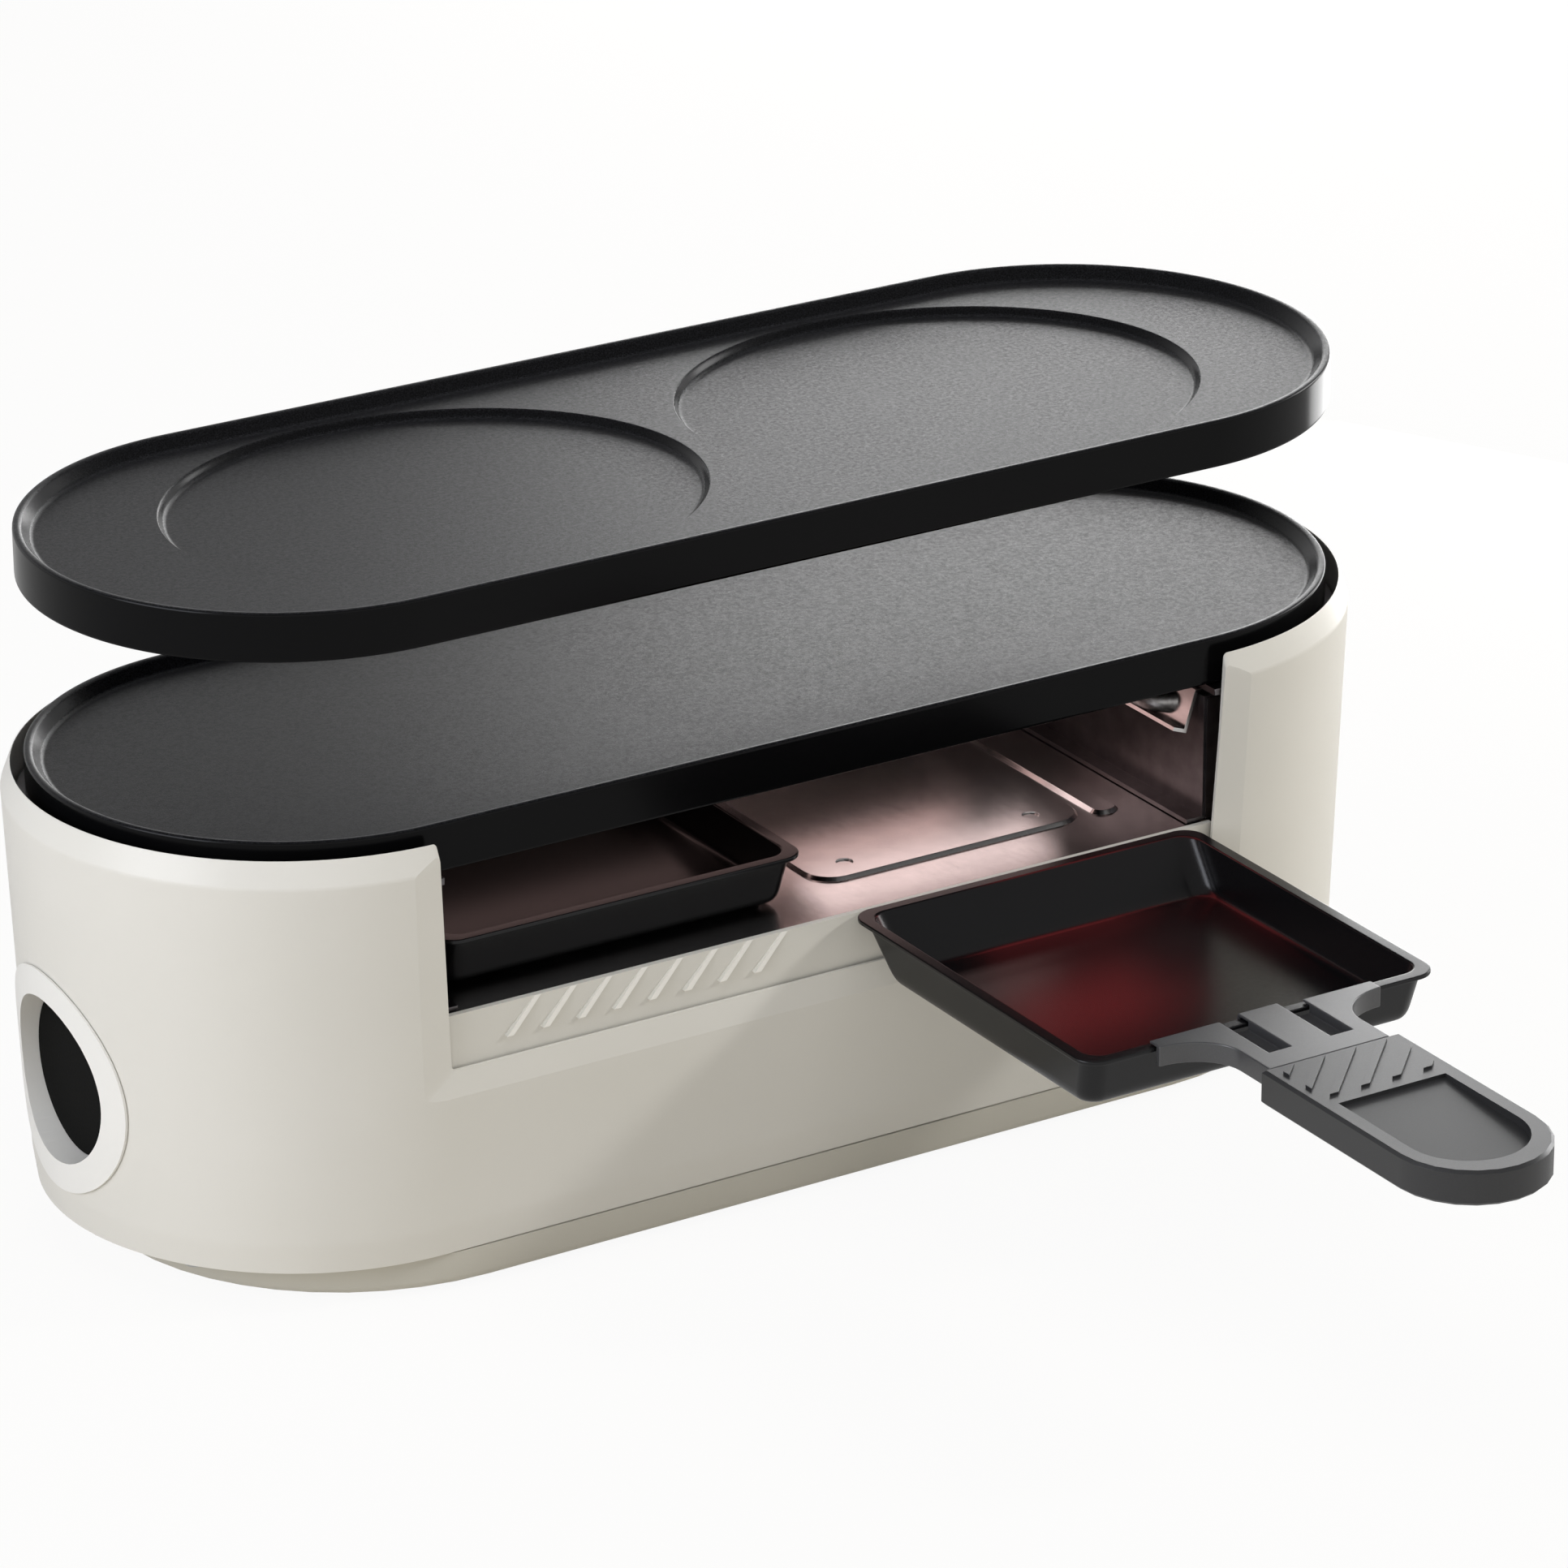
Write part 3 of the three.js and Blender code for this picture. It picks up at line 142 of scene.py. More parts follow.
def rounded(path, radii, steps=4):
    """The corners of a path of number rows, each turned into a short curve of its own radius."""
    if not isinstance(radii, (list, tuple)):
        radii = [radii] * (len(path) - 2)
    rows = [tuple(path[0])]
    for before, corner, after, radius in zip(path, path[1:], path[2:], radii):
        reach = []
        for end in (before, after):
            length = math.dist(corner, end)
            share = min(radius / length, MOST_OF_A_SIDE) if length else 0
            reach.append([c + (e - c) * share for c, e in zip(corner, end)])
        for step in range(steps + 1):
            t = step / steps
            rows.append(tuple((1 - t) ** 2 * a + 2 * t * (1 - t) * c + t ** 2 * b
                              for a, c, b in zip(reach[0], corner, reach[1])))
    return rows + [tuple(path[-1])]


print("an oval ring has", len(oval_ring(1, 1, 0)), "points")

# %% [markdown]
# A skin is made from points and faces, whose normals are then turned outward. A loft joins rings
# of equal count, one above the other, so a whole piece comes from one profile.


# %% Skins
def mesh_piece(name, points, faces):
    """A new object from points in millimetres, its faces turned to point outward."""
    mesh = bpy.data.meshes.new(name)
    mesh.from_pydata([Vector(point) * MM for point in points], [], faces)
    shape = bmesh.new()
    shape.from_mesh(mesh)
    bmesh.ops.recalc_face_normals(shape, faces=shape.faces)
    shape.to_mesh(mesh)
    shape.free()
    piece = bpy.data.objects.new(name, mesh)
    bpy.context.scene.collection.objects.link(piece)
    return piece


def loft(name, rings, closed=False):
    """A skin over rings of equal count: closed into a tube, or with a cap at both ends."""
    count = len(rings[0])
    total = len(rings)
    faces = []
    for ring in range(total if closed else total - 1):
        above = (ring + 1) % total
        for step in range(count):
            after = (step + 1) % count
            faces.append((ring * count + step, ring * count + after,
                          above * count + after, above * count + step))
    if not closed:
        faces.append(tuple(reversed(range(count))))
        faces.append(tuple(range((total - 1) * count, total * count)))
    return mesh_piece(name, [point for ring in rings for point in ring], faces)


def rod(name, y, z, radius, low, high, steps=96):
    """A round bar along X between two places; its axis passes through a Y and a Z."""
    angles = [2 * math.pi * step / steps for step in range(steps)]
    return loft(name, [[(x, radius * math.cos(angle) + y, radius * math.sin(angle) + z)
                        for angle in angles] for x in (low, high)])


print("skins are lofts of rings")

# %% [markdown]
# Cuts and bevels are modifiers. Each is baked into the mesh at once, so that the next step works
# on plain faces. The exact solver is slower than the fast one, but it copes with faces that nearly
# touch, and a cut-out in a thin wall is full of those. Last come the normals: faces that meet at a
# flat angle are shaded as one surface, and weighted normals keep the big flat ones flat.


# %% Cuts and soft edges
def settle(piece):
    """Bakes the piece's modifiers into its mesh."""
    graph = bpy.context.evaluated_depsgraph_get()
    old = piece.data
    piece.data = bpy.data.meshes.new_from_object(piece.evaluated_get(graph))
    piece.data.name = old.name
    piece.modifiers.clear()
    return piece


def carve(piece, tool, how="DIFFERENCE"):
    """Cuts a tool out of a piece, or joins the two, and takes the tool away."""
    step = piece.modifiers.new("carve", "BOOLEAN")
    step.operation = how
    step.solver = "EXACT"
    step.object = tool
    settle(piece)
    bpy.data.objects.remove(tool)
    return piece


def soften(piece, width, segments=2, angle=28, sharp=50):
    """Rounds the edges that turn by more than an angle and shades the rest smoothly."""
    if width:
        bevel = piece.modifiers.new("edges", "BEVEL")
        bevel.width = width * MM
        bevel.segments = segments
        bevel.limit_method = "ANGLE"
        bevel.angle_limit = math.radians(angle)
        settle(piece)
    piece.data.shade_smooth()
    piece.data.set_sharp_from_angle(angle=math.radians(sharp))
    flow = piece.modifiers.new("flow", "WEIGHTED_NORMAL")
    flow.keep_sharp = True
    settle(piece)
    return piece


print("cuts and bevels are baked at once")

# %% [markdown]
# ## Dressing a node
# A piece made here stands for CAD nodes: it rides on their body, takes their place and names their
# slot. Where the CAD shape is right as it is, the node is copied and only gets its edges rounded.
# Its flat faces come as many triangles, which are merged first, because a bevel follows edges.

# %% Dressing
SAME_POINT = 0.01
FLAT_ANGLE = 1
dressed = []


def put(piece, material, *node_names):
    """Gives a piece its material and its body, and hides the CAD nodes that it stands for."""
    first = node_names[0]
    piece.data.materials.clear()
    piece.data.materials.append(material)
    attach(piece, body_of_node[first])
    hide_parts(*node_names)
    dressed.extend(node_names)
    return piece


def dress(node_name, material, width, angle=28, cut=None):
    """A CAD node with its edges rounded: its faces are merged flat, cut by a tool and bevelled."""
    mesh = nodes[node_name].data.copy()
    shape = bmesh.new()
    shape.from_mesh(mesh)
    bmesh.ops.remove_doubles(shape, verts=shape.verts, dist=SAME_POINT * MM)
    bmesh.ops.dissolve_limit(shape, angle_limit=math.radians(FLAT_ANGLE), verts=shape.verts,
                             edges=shape.edges)
    shape.to_mesh(mesh)
    shape.free()
    mesh.materials.clear()
    piece = bpy.data.objects.new(node_name + "_dressed", mesh)
    bpy.context.scene.collection.objects.link(piece)
    if cut:
        carve(piece, cut)
    soften(piece, width, angle=angle)
    return put(piece, material, node_name)


print(len(nodes), "nodes to dress")

# %% [markdown]
# ## Materials
# Every finish is a Principled shader with its grain made by noise textures. The noise works on
# object coordinates in metres, so a scale of 2000 makes grains of about half a millimetre. A noise
# hardly ever leaves the range from 0.3 to 0.7, so that part of it is spread over the new range.


# %% Shader helpers
def new_finish(slot, roughness, metallic=0.0, specular=0.5):
    """A material with its shader, ready for its grain."""
    material = bpy.data.materials.new(slot)
    material.use_nodes = True
    material["slot"] = slot
    tree = material.node_tree
    shader = tree.nodes["Principled BSDF"]
    shader.inputs["Roughness"].default_value = roughness
    shader.inputs["Metallic"].default_value = metallic
    shader.inputs["Specular IOR Level"].default_value = specular
    return material, tree, shader


def grain(tree, scale, detail=3.0, rough=0.5, stretch=None):
    """A noise value over the piece; stretch pulls the grain out along an axis."""
    place = tree.nodes.new("ShaderNodeTexCoord").outputs["Object"]
    if stretch:
        mapping = tree.nodes.new("ShaderNodeMapping")
        mapping.inputs["Scale"].default_value = stretch
        tree.links.new(place, mapping.inputs["Vector"])
        place = mapping.outputs["Vector"]
    noise = tree.nodes.new("ShaderNodeTexNoise")
    noise.inputs["Scale"].default_value = scale
    noise.inputs["Detail"].default_value = detail
    noise.inputs["Roughness"].default_value = rough
    tree.links.new(place, noise.inputs["Vector"])
    return noise.outputs["Fac"]


def blend_range(tree, value, low, high, to_low, to_high):
    """Stretches a part of a value's range over a new range."""
    step = tree.nodes.new("ShaderNodeMapRange")
    for name, number in (("From Min", low), ("From Max", high),
                         ("To Min", to_low), ("To Max", to_high)):
        step.inputs[name].default_value = number
    tree.links.new(value, step.inputs["Value"])
    return step.outputs["Result"]


def spread_out(tree, noise, to_low=0, to_high=1):
    """A noise stretched over a range, which its usual middle part then fills."""
    return blend_range(tree, noise, 0.3, 0.7, to_low, to_high)


print("a noise is stretched to fill its range")

# %% [markdown]
# A finish mixes two close tones by a noise. Where only some faces of a piece differ, such as the
# stripes on the sill, which carry painted light, the material reads how far a face looks up from
# the piece's own normal, so nothing slides over the surface when the camera moves. A bump's height
# is in millimetres.


# %% Tones, leaning faces and bumps
def two_tone(tree, share, first, second):
    """A colour between two, by a share from 0 to 1; the first may come from another node."""
    mix = tree.nodes.new("ShaderNodeMix")
    mix.data_type = "RGBA"
    if isinstance(first, tuple):
        mix.inputs["A"].default_value = (*first, 1)
    else:
        tree.links.new(first, mix.inputs["A"])
    mix.inputs["B"].default_value = (*second, 1)
    tree.links.new(share, mix.inputs["Factor"])
    return mix.outputs["Result"]


def product(tree, first, second):
    """Two values multiplied."""
    step = tree.nodes.new("ShaderNodeMath")
    step.operation = "MULTIPLY"
    tree.links.new(first, step.inputs[0])
    tree.links.new(second, step.inputs[1])
    return step.outputs["Value"]


def up_share(tree, low, high):
    """How far a face looks up, as a share: 0 below the low value of its normal's Z, 1 above."""
    axes = tree.nodes.new("ShaderNodeSeparateXYZ")
    normal = tree.nodes.new("ShaderNodeTexCoord").outputs["Normal"]
    tree.links.new(normal, axes.inputs["Vector"])
    return blend_range(tree, axes.outputs["Z"], low, high, 0, 1)


def raise_grain(tree, shader, value, height, strength):
    """Bumps the surface by a value, height in millimetres."""
    bump = tree.nodes.new("ShaderNodeBump")
    bump.inputs["Distance"].default_value = height * MM
    bump.inputs["Strength"].default_value = strength
    tree.links.new(value, bump.inputs["Height"])
    tree.links.new(bump.outputs["Normal"], shader.inputs["Normal"])
    return bump


def linear(red, green, blue):
    """A colour as seen on a screen, 0 to 255, turned into linear light."""
    return tuple(((v / 255 + 0.055) / 1.055) ** 2.4 if v > 10 else v / 255 / 12.92
                 for v in (red, green, blue))


print("cream in linear light:", [round(v, 2) for v in linear(226, 223, 214)])

# %% [markdown]
# ### Cream moulding
# The shell, plinth and sill are moulded plastic with a fine satin texture. The texture is far too
# small to see as bumps; it shows as a soft gloss. A faint slow change of tone keeps the big wall
# from looking like paint on a screen. The sill's raised stripes are painted paler, as painted
# light:
# their faces lean back a little, toward the light from above, and the material finds them by their
# normals. The plinth's cream is a little darker, as painted shade for the shade of the shell over
# it, and the cups' cream is paler, partly as painted light.

# %% Cream moulding
CREAM_ROUGHNESS, CREAM_SPECULAR = 0.36, 0.45
CREAM_GLOSS = (0.32, 0.42)
TONE_SCALE, TEXTURE_SCALE = 14, 1500
TEXTURE_HEIGHT = 0.02
STRIPE_LEAN = (0.03, 0.07)
BEVEL_LEAN = (0.2, 0.3)


def moulded_cream(tone, second):
    """Satin plastic in two close tones."""
    material, tree, shader = new_finish("cream_shell", CREAM_ROUGHNESS, specular=CREAM_SPECULAR)
    slow = spread_out(tree, grain(tree, TONE_SCALE, 2))
    colour = two_tone(tree, slow, linear(*tone), linear(*second))
    tree.links.new(colour, shader.inputs["Base Color"])
    fine = grain(tree, TEXTURE_SCALE, 2)
    tree.links.new(spread_out(tree, fine, *CREAM_GLOSS), shader.inputs["Roughness"])
    raise_grain(tree, shader, fine, TEXTURE_HEIGHT, 0.5)
    return material


def cream_with_painted_light_stripes(tone, second, painted_stripe_light):
    """Sill cream with painted light: the raised stripes, which look slightly up, are paler."""
    material = moulded_cream(tone, second)
    tree = material.node_tree
    colour = tree.nodes["Principled BSDF"].inputs["Base Color"]
    ground = colour.links[0].from_socket
    leaning = up_share(tree, *STRIPE_LEAN)
    below = blend_range(tree, up_share(tree, *BEVEL_LEAN), 0, 1, 1, 0)
    # painted light: faces that look slightly upward get the paler stripe tone
    painted = two_tone(tree, product(tree, leaning, below), ground, linear(*painted_stripe_light))
    tree.links.new(painted, colour)
    return material


cream = moulded_cream((226, 223, 215), (222, 219, 210))
# painted light: the third tone is the paler stripe tone, standing in for light from above
sill_cream_painted_light = cream_with_painted_light_stripes((222, 219, 210), (218, 215, 206), (243, 240, 232))
# painted shade: the plinth's cream is darker than the shell's, for the shade under the shell
plinth_cream_painted_shade = moulded_cream((202, 198, 186), (198, 194, 181))
# partly painted light: the cups' cream is paler than the shell's, lifting the ring and the shaded
# tube wall
cup_cream_partly_painted_light = moulded_cream((240, 238, 233), (236, 234, 228))
print("four creams")

# %% [markdown]
# ### Granular coating
# The plates, pans and bracket are cast metal with a sprayed non-stick coat full of tiny grains. One
# fine noise gives the specks and their bump, and a wider one lets the gloss wander a little. The
# plates have the coarse coat of a grill, so their bump is high and their mirror is weak; the pans
# are smoother. A black coat looks grey at a flat angle because there it mirrors the room. The
# plates' skirts have no grains and a finer gloss, so there the material fades the grains out: it
# tells a steep face from a level one by its normal.

# %% Granular coating
SPECK_RANGE = (0.42, 0.68)
COAT_BUMP = 0.6
FLAT_FACE = (0.5, 0.9)


def granular(slot, tones, roughness, spread, grain_size, height, specular, side_roughness=None):
    """A coat with grains; with a side roughness, its steep faces are smooth and carry no bump."""
    material, tree, shader = new_finish(slot, roughness, specular=specular)
    scale = 1 / (grain_size * MM)
    fine = grain(tree, scale, 4, 0.65)
    speck = blend_range(tree, fine, *SPECK_RANGE, 0, 1)
    gloss = spread_out(tree, grain(tree, scale / 3, 3), roughness - spread, roughness + spread)
    bump = raise_grain(tree, shader, fine, height, COAT_BUMP)
    if side_roughness:
        flat = up_share(tree, *FLAT_FACE)
        tree.links.new(blend_range(tree, flat, 0, 1, 0, COAT_BUMP), bump.inputs["Strength"])
        speck = product(tree, speck, flat)
        mix = tree.nodes.new("ShaderNodeMix")
        mix.inputs["A"].default_value = side_roughness
        tree.links.new(flat, mix.inputs["Factor"])
        tree.links.new(gloss, mix.inputs["B"])
        gloss = mix.outputs["Result"]
    dark, pale = tones
    tree.links.new(two_tone(tree, speck, linear(*dark), linear(*pale)), shader.inputs["Base Color"])
    tree.links.new(gloss, shader.inputs["Roughness"])
    return material


plate_coat = granular("plate_coating", ((8, 8, 9), (46, 46, 49)), roughness=0.35, spread=0.07,
                      grain_size=0.4, height=0.07, specular=0.12, side_roughness=0.17)
pan_coat = granular("pan_coating", ((11, 11, 12), (16, 16, 18)), roughness=0.25, spread=0.02,
                    grain_size=0.25, height=0.003, specular=0.4)
bracket_coat = granular("bracket_coating", ((60, 60, 61), (68, 68, 70)), roughness=0.3,
                        spread=0.02, grain_size=0.3, height=0.006, specular=0.95)
print("three coats")

# %% [markdown]
# ### Sheet steel
# The tray is bright rolled sheet: its grain is long and fine along the rolling direction, and the
# gloss is a little uneven. The walls of the bay are a darker sheet, tinted by heat. The rear wall
# is the same sheet painted much paler, as painted light that the tray mirrors, so that the bay
# looks lit. The colours are high and the bump is tiny, because metal shows hardly anything but
# what it mirrors, and a strong bump would break that up into specks.

# %% Sheet steel
STREAK_SCALE, CLOUD_SCALE = 900, 120
STREAK_HEIGHT = 0.0006
SMOOTHER, ROUGHER = 0.015, 0.02


def rolled_steel(slot, tone, second, roughness, y_scale):
    """Sheet with a fine streak, which runs along Y where y_scale is below 1."""
    material, tree, shader = new_finish(slot, roughness, metallic=1.0)
    streak = grain(tree, STREAK_SCALE, 4, 0.6, (1, y_scale, 1))
    cloud = spread_out(tree, grain(tree, CLOUD_SCALE, 4, 0.6))
    tree.links.new(two_tone(tree, cloud, linear(*tone), linear(*second)),
                   shader.inputs["Base Color"])
    tree.links.new(spread_out(tree, streak, roughness - SMOOTHER, roughness + ROUGHER),
                   shader.inputs["Roughness"])
    raise_grain(tree, shader, streak, STREAK_HEIGHT, 0.3)
    return material


tray_steel = rolled_steel("tray_steel", (216, 213, 212), (206, 203, 202), 0.2, 0.25)
dark_steel = rolled_steel("dark_steel", (120, 116, 117), (100, 96, 98), 0.3, 0.3)
zinc_steel = rolled_steel("screw_steel", (196, 196, 194), (176, 175, 170), 0.32, 1)
# painted light: the rear wall's sheet is much paler than the side walls', so the tray mirrors a lit
# bay
rear_steel_painted_light = rolled_steel("dark_steel", (206, 203, 202), (196, 192, 191), 0.3, 0.3)
print("four steels")

# %% [markdown]
# ### The hot element
# A steel tube filled with powder and a coil. Only its middle glows; the ends and bends stay cold,
# because there the coil inside is a thick pin. The glow falls off with the distance along X, which
# object coordinates give straight away, so no picture or second material is needed. The range of
# the falloff is written in millimetres, like every length here.

# %% The hot element
HOT_TO, COLD_FROM = 88, 103
TUBE_ROUGHNESS = 0.38
TUBE_GRAIN_SCALE, TUBE_GRAIN_HEIGHT = 700, 0.03
GLOW_COLOUR = (1.0, 0.66, 0.62, 1)


def glowing_tube():
    """Dull steel that glows in its middle."""
    material, tree, shader = new_finish("element_steel", TUBE_ROUGHNESS, metallic=1.0)
    fine = grain(tree, TUBE_GRAIN_SCALE, 4)
    tones = linear(176, 174, 172), linear(140, 136, 134)
    tree.links.new(two_tone(tree, spread_out(tree, fine), *tones), shader.inputs["Base Color"])
    raise_grain(tree, shader, fine, TUBE_GRAIN_HEIGHT, 0.4)
    place = tree.nodes.new("ShaderNodeTexCoord").outputs["Object"]
    axes = tree.nodes.new("ShaderNodeSeparateXYZ")
    tree.links.new(place, axes.inputs["Vector"])
    reach = tree.nodes.new("ShaderNodeMath")
    reach.operation = "ABSOLUTE"
    tree.links.new(axes.outputs["X"], reach.inputs[0])
    heat = blend_range(tree, reach.outputs["Value"], HOT_TO * MM, COLD_FROM * MM, 1.0, 0.0)
    shader.inputs["Emission Color"].default_value = GLOW_COLOUR
    tree.links.new(heat, shader.inputs["Emission Strength"])
    return material


element_steel = glowing_tube()
print("finish", element_steel.name)

# %% [markdown]
# ### Small finishes
# Grip, rubber feet, black plastic, ceramic, brass and the lead sleeves share one recipe: a colour
# in two close tones and a fine grain, whose size and height are given in millimetres. The disc in
# the left cup is the dullest of them, because it sits deep in a tube and mirrors next to nothing.

# %% Small finishes
GLOSSIER, DULLER = 0.05, 0.06


def plain_grained(slot, first, second, roughness, size, height, metallic=0.0, specular=0.5):
    """A finish in two close tones with a fine grain."""
    material, tree, shader = new_finish(slot, roughness, metallic, specular)
    fine = grain(tree, 1 / (size * MM), 3)
    colour = two_tone(tree, spread_out(tree, fine), linear(*first), linear(*second))
    tree.links.new(colour, shader.inputs["Base Color"])
    tree.links.new(spread_out(tree, fine, roughness - GLOSSIER, roughness + DULLER),
                   shader.inputs["Roughness"])
    raise_grain(tree, shader, fine, height, 0.5)
    return material


grip_plastic = plain_grained("grip_plastic", (40, 40, 41), (46, 46, 47), 0.34, 0.4, 0.008,
                             specular=0.65)
rubber = plain_grained("rubber", (46, 46, 46), (56, 56, 56), 0.8, 0.8, 0.05)
black_plastic = plain_grained("black_plastic", (12, 12, 12), (17, 17, 18), 0.42, 0.6, 0.02)
disc_plastic = plain_grained("black_plastic", (14, 14, 13), (18, 18, 17), 0.5, 0.6, 0.02,
                             specular=0.02)
ceramic = plain_grained("ceramic", (232, 227, 214), (222, 215, 200), 0.6, 0.7, 0.03)
brass = plain_grained("pin_brass", (206, 178, 110), (188, 158, 92), 0.3, 0.4, 0.01, 1.0)
red_sleeve = plain_grained("lead_red", (150, 44, 38), (138, 38, 34), 0.6, 0.6, 0.02)
blue_sleeve = plain_grained("lead_blue", (44, 80, 144), (38, 70, 130), 0.6, 0.6, 0.02)
green_sleeve = plain_grained("lead_green", (82, 130, 62), (72, 118, 54), 0.6, 0.6, 0.02)
print(len(bpy.data.materials), "materials so far")

# %% [markdown]
# ## Grill plates
# Two castings of one oval outline: a skirt, a thin land round the rim, and a floor a little lower.
# The upper one, lifted off above the grill, has two oval recesses to bake in. A plate is one
# profile carried round the oval, so a loft suits it better than a box with cuts. The profile's
# points are a radius and a height; those of a recess are how far a ring lies inside the recess's
# rim and how high it lies over the plate's floor.

# %% Grill plates
STRAIGHT = 236
PLATE_RADIUS = 70
PLATE_HEIGHT = 13
LOWER_PLATE_Z = 114.5
UPPER_PLATE_Z = 175.2
FLOOR_DROP = 3.5
CASTING = 4
SKIRT_INNER, SKIRT_DRAFT = 67.3, 0.7
LAND, RIM_FOOT = 1.9, 4.7
UNDER_CAP, FLOOR_CAP = 8, 9
PLATE_CORNER = 0.9
RECESS_X = 76.3
RECESS_HALF_LENGTH, RECESS_HALF_WIDTH = 72.7, 62.5
RECESS_PROFILE = ((3.2, -2.2), (1.5, -2.2), (0.15, -0.25), (-0.35, 0.02), (-0.9, 2))


def grill_plate(name, z):
    """A plate whose skirt stands at a height."""
    floor = z + PLATE_HEIGHT - FLOOR_DROP
    top = z + PLATE_HEIGHT
    path = [(SKIRT_INNER - UNDER_CAP, floor - CASTING),
            (SKIRT_INNER - SKIRT_DRAFT, floor - CASTING), (SKIRT_INNER, z), (PLATE_RADIUS, z),
            (PLATE_RADIUS, top), (PLATE_RADIUS - LAND, top), (PLATE_RADIUS - RIM_FOOT, floor),
            (PLATE_RADIUS - FLOOR_CAP, floor)]
    return loft(name, [oval_ring(STRAIGHT, radius, height)
                       for radius, height in rounded(path, PLATE_CORNER, 5)])


def oval_recess(side, z):
    """The cutting tool for one recess, on the left or right."""
    floor = z + PLATE_HEIGHT - FLOOR_DROP
    path = [(inset, floor + rise) for inset, rise in RECESS_PROFILE]
    return loft("recess", [ellipse_ring(side * RECESS_X, RECESS_HALF_LENGTH - inset,
                                        RECESS_HALF_WIDTH - inset, height)
                           for inset, height in rounded(path, PLATE_CORNER, 4)])


lower_plate = grill_plate("lower_plate_casting", LOWER_PLATE_Z)
soften(lower_plate, 0)
put(lower_plate, plate_coat, "lower_plate")
upper_plate = grill_plate("upper_plate_casting", UPPER_PLATE_Z)
for side in (1, -1):
    carve(upper_plate, oval_recess(side, UPPER_PLATE_Z))
soften(upper_plate, 0)
put(upper_plate, plate_coat, "upper_plate")
print("plates:", len(lower_plate.data.polygons), "and", len(upper_plate.data.polygons), "faces")

# %% [markdown]
# ## Shell
# One tall oval wall, moulded in one shot: it widens slightly to the top, where a bevel leads in to
# the plate. The front is cut out, with a sloping band all round the cut. The wall is a loft round
# a closed profile; the cut is a second loft whose rings lie one behind the other.

# %% Shell form
PLINTH_TOP = 10
SHELL_TOP = 124.3
CREASE_Z = 117.5
CREASE_RADIUS = 76.33
DRAFT = 0.0356
WALL = 2.4
INNER_RADIUS = 73.4
FOOT_Z = 18
FOOT_LEAN = 1
TOP_LIP = 0.3
OUTER_CORNER, WALL_CORNER = 0.8, 0.7


def shell_radius(z):
    """The shell's outer half width at a height between its two creases."""
    return CREASE_RADIUS - DRAFT * (CREASE_Z - z)


FOOT_RADIUS = shell_radius(FOOT_Z) - FOOT_LEAN


def shell_solid(name, offset):
    """The shell's outer form as a full solid, grown by an offset."""
    path = [(FOOT_RADIUS, PLINTH_TOP), (shell_radius(FOOT_Z), FOOT_Z), (CREASE_RADIUS, CREASE_Z),
            (INNER_RADIUS + TOP_LIP, SHELL_TOP)]
    return loft(name, [oval_ring(STRAIGHT, radius + offset, z)
                       for radius, z in rounded(path, OUTER_CORNER)])


def shell_wall():
    """The moulded wall: up its outer face, over the top edge and down its inner face."""
    inner_foot = shell_radius(FOOT_Z) - WALL
    meet = FOOT_Z + (INNER_RADIUS - inner_foot) / DRAFT
    path = [(FOOT_RADIUS, PLINTH_TOP), (shell_radius(FOOT_Z), FOOT_Z), (CREASE_RADIUS, CREASE_Z),
            (INNER_RADIUS + TOP_LIP, SHELL_TOP), (INNER_RADIUS, SHELL_TOP - TOP_LIP),
            (INNER_RADIUS, meet), (inner_foot, FOOT_Z), (FOOT_RADIUS - WALL, PLINTH_TOP)]
    rings = [oval_ring(STRAIGHT, radius, z) for radius, z in rounded(path, WALL_CORNER)]
    return loft("shell_moulding", rings, closed=True)


print("wall thickness at the foot:", WALL)

# %% Shell cut-out
TRAY_Z = 74.9
BAY_HALF = 116
BAND_DEPTH, BAND_WIDTH = 1.54, 10.95
BEVEL_DEPTH, BEVEL_RISE = 2.93, 6.8
SILL_DROP, SILL_RISE = 21, 7.05
SIDE_MARGIN = 2.3
FRONT_TAPER, REAR_TAPER = 0.054, 0.047
CUT_CORNER = 1.6
OVERRUN = 6
QUARTER = [math.pi / 2 * step / CORNER_STEPS for step in range(CORNER_STEPS + 1)]


def notch_slice(depth):
    """The outline of the front cut-out at a depth behind the shell's sloping face."""
    band = min(max(depth / BAND_DEPTH, 0), 1)
    rise = min(max(depth / BEVEL_DEPTH, 0), 1)
    low = TRAY_Z - SILL_DROP + SILL_RISE * band
    high = CREASE_Z + BEVEL_RISE * rise
    half = BAY_HALF + SIDE_MARGIN + BAND_WIDTH * (1 - band)
    taper = FRONT_TAPER + (REAR_TAPER - FRONT_TAPER) * band
    radius = CUT_CORNER
    low_half = half - taper * (CREASE_Z - low)
    high_half = half - taper * (CREASE_Z - (high - radius))
    outline = [(low_half - radius + radius * math.sin(angle),
                low + radius - radius * math.cos(angle)) for angle in QUARTER]
    outline += [(high_half + radius - radius * math.cos(angle),
                 high - radius + radius * math.sin(angle)) for angle in QUARTER]
    outline.append((high_half + radius, SHELL_TOP + OVERRUN))
    outline += [(-x, z) for x, z in reversed(outline)]
    return [(x, depth - shell_radius(z), z) for x, z in outline]


def notch_tool():
    """The whole cut-out: slices from in front of the wall to behind its bevel."""
    depths = (-OVERRUN, 0, BAND_DEPTH, BEVEL_DEPTH, BEVEL_DEPTH + OVERRUN)
    return loft("notch", [notch_slice(depth) for depth in depths])


def end_rod(name, side, radius, inner, outer):
    """A round tool round a cup's axis, between two distances from the grill's middle."""
    near, far = side * inner, side * outer
    return rod(name, 0, CUP_Z, radius, min(near, far), max(near, far))


